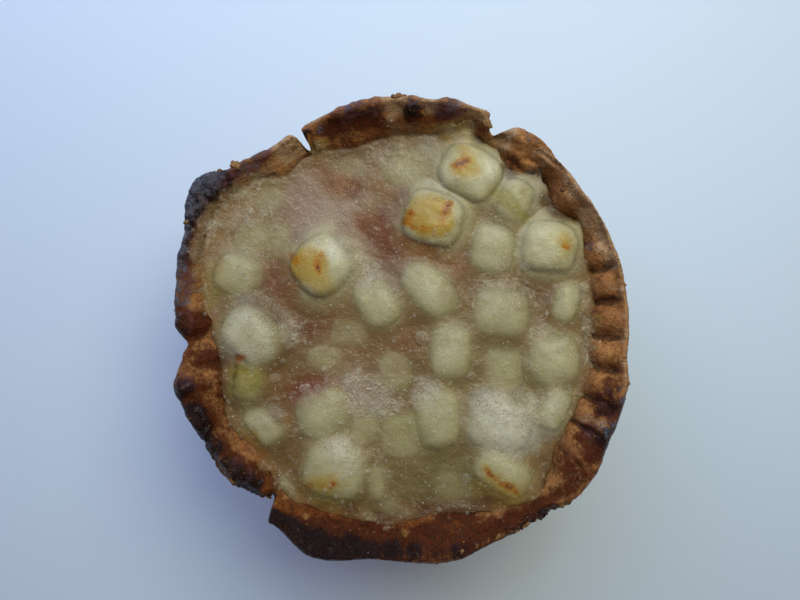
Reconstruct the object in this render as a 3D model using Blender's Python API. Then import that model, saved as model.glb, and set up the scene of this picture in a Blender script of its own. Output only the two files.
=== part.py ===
"""An open-topped pork and apple pie.

A raised pastry cup holds a plug of pork. A layer of set jelly lies over the pork,
and diced apple stands in the jelly. The rim is crimped, torn at four cracks and
blistered by the oven. Each piece is its own closed solid, in metres, with +Z up and
the middle of the base at the origin.
"""

import math
import random

import bmesh
import bpy
from mathutils import Matrix, Vector, noise

MM = 0.001
GAP = 0.3 * MM  # left between two pieces that touch
SIDE_GAP = 0.39 * MM  # the same between the fillings and the crust's sloping wall

# Driving heights above the base
JELLY_LEVEL = 42.0 * MM
PORK_LEVEL = 33.0 * MM
FLOOR_TOP = 6.0 * MM

# Driving radii of the cup
BASE_RADIUS = 34.6 * MM
WALL_PROFILE = (  # radius and height, in millimetres
    (36.4, 0.6),
    (37.4, 2.2),
    (38.8, 9.0),
    (39.9, 20.0),
    (40.3, 31.0),
)
WIDEST_NECK = 41.2 * MM  # the wall just under the rim
INNER_WALL_TOP = 38.2 * MM  # the most, where the filling reaches far out
INNER_WALL_FOOT = 33.2 * MM
FLOOR_RADIUS = 30.8 * MM
FLOOR_CORNER = 2.0 * MM  # height of the slope between the floor and the wall
UNDERCUT = 0.4 * MM  # the wall stands in by this under the filling's edge
UNDERCUT_DEPTH = 4.5 * MM  # below the filling's surface
RIM_FOOT_DEPTH = 0.5 * MM  # the rim's face ends this far below the filling's surface
PORK_CLEARANCE = 1.0 * MM  # the cooked plug has shrunk from the wall by this

# The lip under the crest: how far each ring stands in from the edge and lies below
NECK_INSET, NECK_DROP = 1.4 * MM, 7.6 * MM
LIP_FOOT_INSET, LIP_FOOT_DROP = 0.5 * MM, 4.4 * MM
LIP_DROP = 2.3 * MM

# The crimps: one every 9.2 degrees, each four steps of the mesh wide
CRIMPS_AROUND = 39
STEPS_PER_CRIMP = 4
AROUND = CRIMPS_AROUND * STEPS_PER_CRIMP
FIRST_CRIMP = 25.3  # degrees from +X, where one groove's middle lies
CRIMP_DEPTH = 1.3 * MM
GROOVE_WIDTH = 0.75  # share of a crimp's width

# The rim's five torn lengths, each by stations: degrees from +X, then the outermost
# radius, the radius where the filling meets the crust, and the crest's height above
# the filling, in millimetres. A crack is one station between two lengths.
RIGHT_RIM = (
    (-53.0, 44.0, 41.0, 3.2),
    (-45.0, 45.2, 40.0, 4.4),
    (-38.0, 44.9, 36.9, 5.2),
    (-28.0, 43.3, 36.0, 5.2),
    (-15.0, 43.3, 35.7, 5.0),
    (-7.0, 42.0, 35.4, 4.8),
    (20.0, 42.0, 36.6, 4.9),
    (31.0, 41.8, 38.8, 5.2),
    (38.0, 41.7, 36.4, 5.6),
    (46.0, 41.9, 39.0, 5.8),
    (54.0, 42.8, 35.6, 5.6),
    (60.5, 42.0, 36.8, 5.0),
)
TOP_RIM = (
    (66.5, 41.6, 38.0, 5.2),
    (70.0, 42.3, 37.6, 6.0),
    (77.0, 42.5, 36.6, 6.3),
    (90.0, 42.2, 36.2, 6.6),
    (104.0, 41.7, 34.9, 6.2),
    (115.5, 41.5, 36.2, 4.4),
)
UPPER_LEFT_RIM = (
    (120.0, 40.9, 37.0, 3.6),
    (127.0, 41.3, 35.9, 3.8),
    (136.0, 43.2, 39.0, 3.4),
    (144.0, 46.4, 40.8, 3.0),
    (150.0, 45.6, 41.2, 2.8),
    (158.0, 43.6, 40.2, 3.0),
    (172.0, 42.2, 37.8, 3.8),
    (180.0, 41.7, 35.8, 3.8),
)
LOWER_LEFT_RIM = (
    (188.0, 41.0, 34.6, 3.8),
    (196.0, 43.4, 35.2, 5.0),
    (207.0, 42.3, 37.4, 5.2),
    (220.0, 43.0, 36.2, 4.8),
    (230.5, 40.8, 37.6, 3.4),
)
LOWER_RIM = (
    (235.3, 43.2, 38.9, 4.6),
    (249.0, 45.3, 37.5, 6.2),
    (264.0, 43.0, 37.4, 6.3),
    (281.0, 44.0, 36.0, 6.0),
    (297.0, 43.0, 38.8, 4.6),
)
UPPER_RIGHT_CRACK = (63.5, 40.4, 37.6, 2.0)
UPPER_LEFT_CRACK = (117.6, 38.2, 36.6, 0.8)
LEFT_CRACK = (184.2, 39.9, 35.3, 1.3)
LOWER_LEFT_CRACK = (233.0, 39.8, 38.0, 0.9)

# Where the crest broke back and a flaky lower layer sticks out: degrees from +X, and
# how far the crest stands in from that layer, in millimetres
FLAKY_LEDGES = (
    (-66.0, 0.0),
    (-59.0, 1.6),
    (-52.0, 2.0),
    (-43.0, 0.3),
    (0.0, 0.0),
    (200.0, 0.0),
    (214.0, 1.7),
    (227.0, 2.3),
    (232.0, 1.2),
    (236.0, 0.0),
)
FLAKE_RAGGEDNESS = 0.35  # of the ledge's width
FLAKE_WIDTH = 1.9 * MM

# The rim's section from its outer edge inwards: share of the way in to the filling,
# share of the drop to it on plain and on crimped stretches, and share of the groove
RIM_SECTION = (
    (0.06, 0.12, 0.12, 0.0),
    (0.18, 0.00, 0.00, 0.1),
    (0.30, 0.10, 0.16, 0.6),
    (0.42, 0.24, 0.21, 1.0),
    (0.56, 0.40, 0.27, 1.0),
    (0.70, 0.57, 0.36, 1.0),
    (0.84, 0.75, 0.54, 0.8),
    (0.95, 0.92, 0.86, 0.3),
)

# How deep the crimps are cut, by degrees from +X: crisp on the right of the rim
CRIMP_STRENGTHS = (
    (-53.0, 0.2),
    (-34.0, 0.7),
    (-22.0, 1.0),
    (24.0, 1.0),
    (36.0, 0.35),
    (70.0, 0.5),
    (100.0, 0.5),
    (130.0, 0.15),
    (190.0, 0.35),
    (230.0, 0.35),
    (280.0, 0.1),
)

# Blisters raised by the oven: degrees from +X, radius, height and spread in mm
BLISTERS = (
    (67.5, 40.5, 0.9, 2.0),
    (72.5, 40.7, 1.0, 2.4),
    (79.5, 40.6, 1.4, 2.4),
    (87.5, 40.8, 1.2, 2.2),
    (100.5, 41.0, 1.2, 3.4),
    (120.8, 39.0, 1.4, 3.0),
    (143.5, 43.4, 1.4, 3.6),
    (195.0, 40.6, 1.6, 2.6),
    (204.5, 40.8, 1.5, 3.0),
    (219.5, 39.8, 1.0, 3.6),
    (236.5, 41.8, 1.0, 1.8),
    (254.0, 41.6, 0.9, 4.0),
    (-36.0, 39.6, 1.3, 3.0),
    (-44.0, 41.0, 1.0, 2.8),
    (-21.0, 40.0, 1.0, 2.6),
)

BLISTER_FADE = 0.6  # how much lower they stand at the foot of the rim

# Wrinkles of the folded upper right rim: they run along the rim
WRINKLE_MIDDLE = 49.0  # degrees
WRINKLE_SPREAD = 15.0
WRINKLE_HEIGHT = 0.45 * MM
WRINKLE_PITCH = 2.1 * MM
WRINKLE_DRIFTS = 9.0  # waves round the pie, by which the wrinkles wander
WRINKLE_DRIFT = 0.8  # radians

# Unevenness of hand-raised pastry: height and width of its lumps
WALL_LUMP = (0.55 * MM, 17.0 * MM)
RIM_LUMP = (0.4 * MM, 4.2 * MM)

# Diced apple: name, middle x and y, length, width and depth, turn in degrees and the
# top's height above the jelly, in millimetres
APPLES = (
    ("apple_01", 12.7, 28.9, 11.4, 9.4, 8.2, -28, 2.8),
    ("apple_02", 5.9, 20.3, 11.2, 10.2, 9.4, -18, 3.0),
    ("apple_03", -15.2, 11.5, 11.2, 10.8, 9.4, 42, 2.8),
    ("apple_04", 27.7, 14.8, 10.4, 9.8, 8.4, -10, 2.6),
    ("apple_05", 21.3, 23.7, 8.2, 6.2, 7.2, 66, 1.5),
    ("apple_06", 17.1, 14.7, 9.8, 8.4, 7.6, 80, 0.5),
    ("apple_07", 5.2, 6.9, 12.2, 7.8, 7.8, -48, 0.7),
    ("apple_08", 18.8, 2.4, 11.0, 9.2, 7.6, -4, 0.6),
    ("apple_09", -4.8, 4.4, 9.8, 7.4, 7.4, -56, 0.6),
    ("apple_10", 9.2, -5.1, 10.8, 7.8, 7.4, 88, 0.6),
    ("apple_11", 28.9, -6.6, 9.6, 9.2, 7.6, 4, 0.7),
    ("apple_12", 31.2, 4.4, 7.8, 4.8, 7.2, 76, 0.6),
    ("apple_13", -28.3, -1.6, 11.6, 9.4, 8.8, -40, 2.3),
    ("apple_14", -29.4, -11.1, 6.0, 4.6, 8.2, 84, 2.2),
    ("apple_15", -31.4, 9.7, 8.6, 7.6, 7.2, -16, 0.8),
    ("apple_16", -15.3, -16.4, 10.0, 9.0, 7.6, 16, 0.6),
    ("apple_17", -12.9, -27.5, 11.6, 10.2, 8.6, -14, 1.9),
    ("apple_18", -26.4, -19.0, 7.8, 5.4, 7.2, -48, 0.9),
    ("apple_19", 6.8, -17.8, 11.2, 8.4, 7.6, 92, 0.6),
    ("apple_20", 18.5, -18.5, 12.6, 9.4, 8.2, -10, 1.6),
    ("apple_21", 28.7, -15.9, 8.0, 4.9, 7.2, 64, 1.2),
    ("apple_22", 18.9, -28.0, 10.8, 6.6, 5.0, -28, 1.9),
)
APPLE_GRID = 3  # faces along each edge of a dice
APPLE_ROUNDNESS = 4.5  # exponent of the rounded box: 2 is an egg, 12 a sharp box
APPLE_UNEVENNESS = 0.07
APPLE_SEED = 23

SHARP_EDGE = math.radians(55.0)

PASTRY_BROWN = (0.17, 0.075, 0.028, 1.0)
PORK_PINK = (0.30, 0.125, 0.075, 1.0)
JELLY_AMBER = (0.33, 0.25, 0.13, 1.0)
APPLE_CREAM = (0.60, 0.55, 0.36, 1.0)


def ease(share):
    """A smooth step from 0 to 1."""
    share = max(0.0, min(1.0, share))
    return share * share * (3.0 - 2.0 * share)


def around_table(table, degrees):
    """The table's values at an angle, eased between its stations, all the way round."""
    last = (table[-1][0] - 360.0, *table[-1][1:])
    first = (table[0][0] + 360.0, *table[0][1:])
    stations = (last, *table, first)
    degrees = (degrees - table[0][0]) % 360.0 + table[0][0]
    for before, after in zip(stations, stations[1:]):
        if before[0] <= degrees <= after[0]:
            share = ease((degrees - before[0]) / (after[0] - before[0]))
            return [a + (b - a) * share for a, b in zip(before[1:], after[1:])]
    raise ValueError("the stations don't go all the way round")


RIM = (
    *RIGHT_RIM,
    UPPER_RIGHT_CRACK,
    *TOP_RIM,
    UPPER_LEFT_CRACK,
    *UPPER_LEFT_RIM,
    LEFT_CRACK,
    *LOWER_LEFT_RIM,
    LOWER_LEFT_CRACK,
    *LOWER_RIM,
)


def angle_of(step, around):
    """The angle in degrees of a step round the pie, so that steps fall on grooves."""
    return FIRST_CRIMP + 360.0 * step / around


def half_steps():
    """The angles of the fillings' meshes, one for every second step of the crust."""
    return [angle_of(step, AROUND // 2) for step in range(AROUND // 2)]


def at(degrees, radius, height):
    turn = math.radians(degrees)
    return Vector((radius * math.cos(turn), radius * math.sin(turn), height))


def lump(point, size):
    """Rounded unevenness, from -1 to 1 times the lump's height."""
    height, width = size
    return height * noise.noise(point / width)


def crimp_groove(degrees):
    """1 in the middle of a crimp's groove, and 0 on its pad."""
    turn = (degrees - FIRST_CRIMP) * CRIMPS_AROUND / 360.0
    from_groove = abs(turn - round(turn)) * 2.0
    return 1.0 - ease(from_groove / GROOVE_WIDTH)


def blister_rise(point):
    """How far the blisters lift the pastry at a point of the rim."""
    rise = 0.0
    for degrees, radius, height, spread in BLISTERS:
        middle = at(degrees, radius * MM, 0.0)
        away = (Vector((point.x, point.y, 0.0)) - middle).length / (spread * MM)
        rise += height * MM * math.exp(-2.0 * away * away)
    return rise


def wrinkle(degrees, radius):
    """Folds along the upper right rim."""
    away = (degrees - WRINKLE_MIDDLE + 180.0) % 360.0 - 180.0
    strength = math.exp(-((away / WRINKLE_SPREAD) ** 2))
    drift = WRINKLE_DRIFT * math.sin(math.radians(degrees) * WRINKLE_DRIFTS)
    return WRINKLE_HEIGHT * strength * math.sin(math.tau * radius / WRINKLE_PITCH + drift)


def wall_points(degrees, outer, crest, ledge):
    """The outside of the cup, from the base's edge up to the rim's outermost edge."""
    points = [at(degrees, BASE_RADIUS, 0.0)]
    for radius, height in WALL_PROFILE:
        bulge = lump(at(degrees, radius * MM, height * MM), WALL_LUMP)
        points.append(at(degrees, radius * MM + bulge, height * MM))
    neck = min(outer - NECK_INSET, WIDEST_NECK)
    points.append(at(degrees, neck, crest - NECK_DROP))
    points.append(at(degrees, outer - LIP_FOOT_INSET, crest - ledge - LIP_FOOT_DROP))
    flake = ledge * FLAKE_RAGGEDNESS
    edge = at(degrees, outer, crest - ledge - LIP_DROP)
    points.append(at(degrees, outer + lump(edge, (flake, FLAKE_WIDTH)), edge.z))
    return points


def rim_points(degrees, outer, inner, crest):
    """The rim from its outer lip over the crest, and down its face to the filling."""
    groove = crimp_groove(degrees)
    (crimped,) = around_table(CRIMP_STRENGTHS, degrees)
    points = []
    for way_in, plain_drop, crimped_drop, groove_share in RIM_SECTION:
        drop = plain_drop + (crimped_drop - plain_drop) * crimped
        radius = outer + (inner - outer) * way_in
        point = at(degrees, radius, crest + (JELLY_LEVEL - crest) * drop)
        rise = blister_rise(point) * (1.0 - BLISTER_FADE * drop)
        rise += wrinkle(degrees, radius) + lump(point, RIM_LUMP)
        rise -= CRIMP_DEPTH * groove_share * groove * crimped
        points.append(point + Vector((0.0, 0.0, rise)))
    return points


def cup_points(degrees):
    """The inside of the cup, from the filling's edge down to the floor."""
    return [
        at(degrees, inner_edge(degrees), JELLY_LEVEL - RIM_FOOT_DEPTH),
        at(degrees, inner_wall(degrees), JELLY_LEVEL - UNDERCUT_DEPTH),
        at(degrees, INNER_WALL_FOOT, FLOOR_TOP + FLOOR_CORNER),
        at(degrees, FLOOR_RADIUS, FLOOR_TOP),
    ]


def inner_edge(degrees):
    """The radius where the filling meets the crust."""
    return around_table(RIM, degrees)[1] * MM


def inner_wall(degrees):
    """The cup's inner radius a little under the filling's surface."""
    return min(inner_edge(degrees) - UNDERCUT, INNER_WALL_TOP)


def new_object(name, mesh_data, material, smooth=True):
    mesh = bpy.data.meshes.new(name)
    mesh_data.to_mesh(mesh)
    mesh_data.free()
    mesh.materials.append(material)
    if smooth:
        mesh.shade_smooth()
        mesh.set_sharp_from_angle(angle=SHARP_EDGE)
    piece = bpy.data.objects.new(name, mesh)
    bpy.context.scene.collection.objects.link(piece)
    return piece


def solid_from_rings(rings):
    """A closed mesh through rings of points, listed from its underside to its top."""
    solid = bmesh.new()
    loops = [[solid.verts.new(point) for point in ring] for ring in rings]
    around = len(rings[0])
    sides = []
    for under, over in zip(loops, loops[1:]):
        for step in range(around):
            after = (step + 1) % around
            side = (under[step], under[after], over[after], over[step])
            sides.append(solid.faces.new(side))
    solid.faces.new(loops[0][::-1])
    solid.faces.new(loops[-1])
    bmesh.ops.triangulate(solid, faces=sides)
    return solid


def make_crust(material):
    columns = []
    for step in range(AROUND):
        degrees = angle_of(step, AROUND)
        outer, inner, rise = (size * MM for size in around_table(RIM, degrees))
        ledge = around_table(FLAKY_LEDGES, degrees)[0] * MM
        crest = JELLY_LEVEL + rise
        column = wall_points(degrees, outer, crest, ledge)
        column += rim_points(degrees, outer - ledge, inner, crest)
        column += cup_points(degrees)
        columns.append(column)
    rings = [[column[row] for column in columns] for row in range(len(columns[0]))]
    return new_object("crust", solid_from_rings(rings), material)


def filling_ring(radius_at, height):
    return [at(degrees, radius_at(degrees), height) for degrees in half_steps()]


def narrowest(radius_at, degrees):
    """The least radius within a step of an angle, so that no straight side sticks out."""
    step = 360.0 / AROUND
    return min(radius_at(degrees + turn) for turn in (-step, 0.0, step)) - SIDE_GAP


def pork_edge(degrees):
    """The cup's wall narrows with depth, and the pork keeps clear of it."""
    share = (PORK_LEVEL - FLOOR_TOP) / (JELLY_LEVEL - FLOOR_TOP)
    top = narrowest(inner_wall, degrees)
    return INNER_WALL_FOOT + (top - INNER_WALL_FOOT) * share - PORK_CLEARANCE


def make_pork(material):
    floor_radius = FLOOR_RADIUS - PORK_CLEARANCE
    foot_radius = INNER_WALL_FOOT - PORK_CLEARANCE
    rings = [
        filling_ring(lambda degrees: floor_radius, FLOOR_TOP + GAP),
        filling_ring(lambda degrees: foot_radius, FLOOR_TOP + FLOOR_CORNER + 2 * GAP),
        filling_ring(pork_edge, PORK_LEVEL),
    ]
    return new_object("pork_filling", solid_from_rings(rings), material)


def make_jelly(material, pockets):
    """The layer of jelly, with a pocket cut round each dice of apple."""
    undercut = JELLY_LEVEL - UNDERCUT_DEPTH
    rings = [
        filling_ring(pork_edge, PORK_LEVEL + GAP),
        filling_ring(lambda degrees: narrowest(inner_wall, degrees), undercut),
        filling_ring(lambda degrees: narrowest(inner_edge, degrees), JELLY_LEVEL),
    ]
    jelly = new_object("jelly", solid_from_rings(rings), material, smooth=False)
    cut = jelly.modifiers.new("pockets", "BOOLEAN")
    cut.operation = "DIFFERENCE"
    cut.operand_type = "COLLECTION"
    cut.collection = pockets
    cut.solver = "EXACT"
    return jelly


def apple_mesh(piece, grow):
    """A rounded, uneven dice of apple, grown outwards by a gap for its pocket."""
    name, x, y, length, width, depth, turn, proud = piece
    draw = random.Random(f"{APPLE_SEED} {name}")
    offset = Vector([draw.uniform(-50.0, 50.0) for _ in range(3)])
    dice = bmesh.new()
    bmesh.ops.create_cube(dice, size=2.0)
    bmesh.ops.subdivide_edges(dice, edges=dice.edges, cuts=APPLE_GRID - 1, use_grid_fill=True)
    half = Vector((length / 2, width / 2, depth / 2)) * MM + Vector((grow, grow, grow))
    for vertex in dice.verts:
        far = sum(abs(part) ** APPLE_ROUNDNESS for part in vertex.co) ** (1 / APPLE_ROUNDNESS)
        direction = vertex.co / far
        swell = 1.0 + APPLE_UNEVENNESS * noise.noise(direction + offset)
        vertex.co = Vector([a * b * swell for a, b in zip(direction, half)])
    bmesh.ops.triangulate(dice, faces=dice.faces)
    middle = JELLY_LEVEL + (proud - depth / 2) * MM
    place = Matrix.Translation((x * MM, y * MM, middle))
    dice.transform(place @ Matrix.Rotation(math.radians(turn), 4, "Z"))
    return dice


def make_apples(material):
    return [new_object(piece[0], apple_mesh(piece, 0.0), material) for piece in APPLES]


def make_pockets(material):
    """The cutters for the jelly: each dice grown by the gap all round."""
    pockets = bpy.data.collections.new("apple_pockets")
    bpy.context.scene.collection.children.link(pockets)
    for piece in APPLES:
        cutter = new_object(f"pocket_{piece[0]}", apple_mesh(piece, GAP), material)
        bpy.context.scene.collection.objects.unlink(cutter)
        pockets.objects.link(cutter)
        cutter.hide_render = True
        cutter.display_type = "WIRE"
    return pockets


def new_material(name, colour, roughness):
    material = bpy.data.materials.new(name)
    material.use_nodes = True
    shader = material.node_tree.nodes["Principled BSDF"]
    shader.inputs["Base Color"].default_value = colour
    shader.inputs["Roughness"].default_value = roughness
    shader.inputs["Metallic"].default_value = 0.0
    material.diffuse_color = colour
    return material


def clear_scene():
    for old in list(bpy.data.objects):
        bpy.data.objects.remove(old)


def centre_on_base():
    """Move every mesh so that the crust's box stands centred on the origin."""
    corners = bpy.data.objects["crust"].data.vertices
    middle = [
        (min(c.co[axis] for c in corners) + max(c.co[axis] for c in corners)) / 2
        for axis in (0, 1)
    ]
    shift = Matrix.Translation((-middle[0], -middle[1], 0.0))
    for piece in bpy.data.objects:
        piece.data.transform(shift)


def main():
    clear_scene()
    pastry = new_material("baked_pastry", PASTRY_BROWN, 0.6)
    pork = new_material("cooked_pork", PORK_PINK, 0.5)
    jelly = new_material("set_jelly", JELLY_AMBER, 0.15)
    apple = new_material("cooked_apple", APPLE_CREAM, 0.4)
    make_crust(pastry)
    make_pork(pork)
    make_apples(apple)
    make_jelly(jelly, make_pockets(apple))
    centre_on_base()


main()
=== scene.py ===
"""The looks of an open-topped pork and apple pie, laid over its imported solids.

The crust is baked pastry with a crimped, torn and scorched rim. Dice of cooked apple
stand in a cloudy set jelly over coarse pork. Sizes are in metres, in the frame's axes,
and marks that the oven left are placed by the photograph's 800 by 600 pixels.
"""

import math

import bmesh
import bpy
import numpy as np
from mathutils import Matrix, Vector, noise
from mathutils.bvhtree import BVHTree


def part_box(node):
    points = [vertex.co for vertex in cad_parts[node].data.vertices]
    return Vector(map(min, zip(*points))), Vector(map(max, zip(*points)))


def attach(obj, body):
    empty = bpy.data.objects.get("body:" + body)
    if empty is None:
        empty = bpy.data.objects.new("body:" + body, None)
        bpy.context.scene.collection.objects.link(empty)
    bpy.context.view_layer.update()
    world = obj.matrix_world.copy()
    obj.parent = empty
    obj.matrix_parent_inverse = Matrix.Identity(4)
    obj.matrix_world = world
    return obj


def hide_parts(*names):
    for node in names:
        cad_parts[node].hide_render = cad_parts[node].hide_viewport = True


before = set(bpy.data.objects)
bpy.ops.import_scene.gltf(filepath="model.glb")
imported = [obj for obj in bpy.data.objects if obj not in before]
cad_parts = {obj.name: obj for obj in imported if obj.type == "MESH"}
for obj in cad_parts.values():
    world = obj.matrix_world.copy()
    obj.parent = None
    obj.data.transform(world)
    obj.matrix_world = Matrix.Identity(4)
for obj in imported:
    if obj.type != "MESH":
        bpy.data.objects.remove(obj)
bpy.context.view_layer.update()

MM = 0.001
MERGE = 0.002 * MM

# The camera looks straight down, as the photograph was taken
CAMERA_PLACE = Vector((-0.435, 5.64, 168.5)) * MM
LENS = 30.0
SENSOR = 36.0
PHOTO_WIDE, PHOTO_HIGH = 800, 600
PIXELS_PER_SLOPE = PHOTO_WIDE * LENS / SENSOR
MIDDLE_PIXEL = Vector((402, 328))  # the pie's middle in the photograph

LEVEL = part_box("jelly")[1].z
JELLY_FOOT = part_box("jelly")[0].z
PORK_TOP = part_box("pork_filling")[1].z
PORK_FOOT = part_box("pork_filling")[0].z
SOLID_COLUMNS = 78  # corners around the jelly's and the pork's solids
DICE = sorted(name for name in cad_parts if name.startswith("apple_"))


# ---------------------------------------------------------------- general tools


def linear(colour):
    """An sRGB hex colour as linear red, green, blue and alpha."""
    parts = [int(colour[start : start + 2], 16) / 255 for start in (1, 3, 5)]
    return (*(p / 12.92 if p <= 0.04045 else ((p + 0.055) / 1.055) ** 2.4 for p in parts), 1.0)


def ease(share):
    """A smooth step from 0 to 1."""
    share = np.clip(share, 0.0, 1.0)
    return share * share * (3.0 - 2.0 * share)


def hump(away):
    """A smooth hump, 1 at no distance and next to nothing beyond 2."""
    return np.exp(-(away**2))


def turn_between(degrees, angle):
    """How far directions lie from an angle, in degrees, by the shorter way."""
    return (degrees - angle + 180.0) % 360.0 - 180.0


def polar(points, middle):
    """The direction and the distance of points from a middle, seen from above."""
    away_x, away_y = points[:, 0] - middle.x, points[:, 1] - middle.y
    return np.arctan2(away_y, away_x), np.hypot(away_x, away_y)


def turned(x, y, z, degrees):
    """A place turned about the upright axis."""
    turn = math.radians(degrees)
    return Vector((x * math.cos(turn) - y * math.sin(turn),
                   x * math.sin(turn) + y * math.cos(turn), z))


def fractal(points, size, octaves=3, seed=0.0):
    """Rounded unevenness at each point, about -1 to 1, with lumps of a size."""
    away = Vector((seed, seed * 1.7, seed * 0.6))
    scaled = np.asarray(points) / size
    return np.array([noise.fractal(Vector(p) + away, 1.0, 2.0, octaves) for p in scaled])


def cells(points, size, seed=0.0):
    """Domes packed side by side, 1 on top of each and 0 between them."""
    away = Vector((seed, seed * 1.7, seed * 0.6))
    scaled = np.asarray(points) / size
    nearest = np.array([noise.voronoi(Vector(p) + away)[0][0] for p in scaled])
    return np.clip(1.0 - 1.6 * nearest * nearest, 0.0, 1.0)


def photo_pixels(points):
    """Where points show in the photograph."""
    below = CAMERA_PLACE.z - points[:, 2]
    across = PHOTO_WIDE / 2 + PIXELS_PER_SLOPE * (points[:, 0] - CAMERA_PLACE.x) / below
    down = PHOTO_HIGH / 2 - PIXELS_PER_SLOPE * (points[:, 1] - CAMERA_PLACE.y) / below
    return np.stack([across, down], axis=1)


def photo_place(across, down, height):
    """The place at a height that shows at a pixel of the photograph."""
    slope = (CAMERA_PLACE.z - height) / PIXELS_PER_SLOPE
    x = CAMERA_PLACE.x + (across - PHOTO_WIDE / 2) * slope
    y = CAMERA_PLACE.y + (PHOTO_HIGH / 2 - down) * slope
    return Vector((x, y, height))


def marked(pixels, marks):
    """How strongly round marks lie at each pixel. A mark: across, down, reach, strength."""
    free = np.ones(len(pixels))
    for across, down, reach, strength in marks:
        away = np.hypot(pixels[:, 0] - across, pixels[:, 1] - down) / reach
        free *= 1.0 - strength * np.exp(-0.5 * away**3)
    return 1.0 - free


def merged_copy(node):
    """A CAD node's mesh with its doubles merged, as a bmesh of its own."""
    copy = bmesh.new()
    copy.from_mesh(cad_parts[node].data)
    bmesh.ops.remove_doubles(copy, verts=copy.verts, dist=MERGE)
    return copy


def spline(values, where, closed=False):
    """Points on the smooth curve through values, at places counted in values."""
    count = len(values)
    start = np.floor(where).astype(int)
    if not closed:
        start = np.clip(start, 0, count - 2)
    part = (where - start).reshape(-1, *[1] * (values.ndim - 1))
    a, b, c, d = (
        values[(start + step) % count if closed else np.clip(start + step, 0, count - 1)]
        for step in (-1, 0, 1, 2)
    )
    return b + part / 2 * (c - a + part * (2 * a - 5 * b + 4 * c - d + part * (3 * (b - c) + d - a)))


def ring_solid(name, rings):
    """A closed mesh through rings, from its underside outwards, up and in again."""
    count, around = rings.shape[:2]
    ends = [rings[0].mean(axis=0), rings[-1].mean(axis=0)]
    points = np.concatenate([rings.reshape(-1, 3), ends])
    row, step = np.meshgrid(np.arange(count - 1), np.arange(around), indexing="ij")
    after = (step + 1) % around
    sides = np.stack([row * around + step, row * around + after, (row + 1) * around + after,
                      (row + 1) * around + step], axis=-1).reshape(-1, 4)
    step = np.arange(around)
    after = (step + 1) % around
    top = (count - 1) * around
    under = np.stack([after, step, np.full(around, count * around)], axis=1)
    over = np.stack([top + step, top + after, np.full(around, count * around + 1)], axis=1)
    mesh = bpy.data.meshes.new(name)
    mesh.from_pydata(points.tolist(), [], sides.tolist() + under.tolist() + over.tolist())
    mesh.shade_smooth()
    return mesh


def corners(mesh):
    """The places of a mesh's corners."""
    points = np.empty(len(mesh.vertices) * 3)
    mesh.vertices.foreach_get("co", points)
    return points.reshape(-1, 3)


def set_corners(mesh, points):
    """Moves a mesh's corners to new places."""
    mesh.vertices.foreach_set("co", np.asarray(points, float).ravel())
    mesh.update()


def corner_normals(mesh):
    """The direction that each corner of a mesh faces."""
    normals = np.empty(len(mesh.vertices) * 3)
    mesh.vertex_normals.foreach_get("vector", normals)
    return normals.reshape(-1, 3)


def write_attribute(mesh, name, values):
    """Stores a number or a colour for each corner, for the material to read."""
    values = np.asarray(values, float)
    if values.ndim == 1:
        mesh.attributes.new(name, "FLOAT", "POINT").data.foreach_set("value", values)
    else:
        full = np.concatenate([values, np.ones((len(values), 1))], axis=1)
        mesh.attributes.new(name, "FLOAT_COLOR", "POINT").data.foreach_set("color", full.ravel())


def place(name, mesh, material, replaced=()):
    """Puts a finished mesh in the scene, on the pie's one body."""
    piece = bpy.data.objects.new(name, mesh)
    bpy.context.scene.collection.objects.link(piece)
    mesh.materials.clear()
    mesh.materials.append(material)
    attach(piece, "root")
    if replaced:
        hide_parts(*replaced)
    return piece


def place_shapes(name, shapes, material):
    """Makes one finished piece of a bmesh's loose shapes."""
    mesh = bpy.data.meshes.new(name)
    shapes.to_mesh(mesh)
    shapes.free()
    mesh.shade_smooth()
    return place(name, mesh, material)


# ---------------------------------------------------------------- material tools

GRAIN_LOW, GRAIN_HIGH = 0.28, 0.72  # what the noise seldom leaves


def connect(tree, node, inputs):
    """Sets a node's inputs to values or hex colours, or links them to nodes and sockets."""
    for name, value in inputs.items():
        if isinstance(value, str) and value.startswith("#"):
            value = linear(value)
        if isinstance(value, bpy.types.Node):
            value = next(output for output in value.outputs if output.enabled)
        if isinstance(value, bpy.types.NodeSocket):
            tree.links.new(value, node.inputs[name])
        else:
            node.inputs[name].default_value = value


def add(tree, kind, settings=None, inputs=None):
    """Adds a node with its settings and inputs."""
    node = tree.nodes.new(kind)
    for name, value in (settings or {}).items():
        setattr(node, name, value)
    connect(tree, node, inputs or {})
    return node


def new_material(name):
    """An empty material, its tree, its shader and its place in the object's own space."""
    material = bpy.data.materials.new(name)
    material.use_nodes = True
    tree = material.node_tree
    shader = tree.nodes["Principled BSDF"]
    where = add(tree, "ShaderNodeTexCoord").outputs["Object"]
    return material, tree, shader, where


def grain(tree, where, size, detail=3.0, rough=0.55):
    """Clouds or grain with lumps of a size in metres, spread over 0 to 1."""
    texture = add(tree, "ShaderNodeTexNoise", None,
                  {"Vector": where, "Scale": 1.0 / size, "Detail": detail, "Roughness": rough})
    return add(tree, "ShaderNodeMapRange", None,
               {"Value": texture, "From Min": GRAIN_LOW, "From Max": GRAIN_HIGH})


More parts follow.
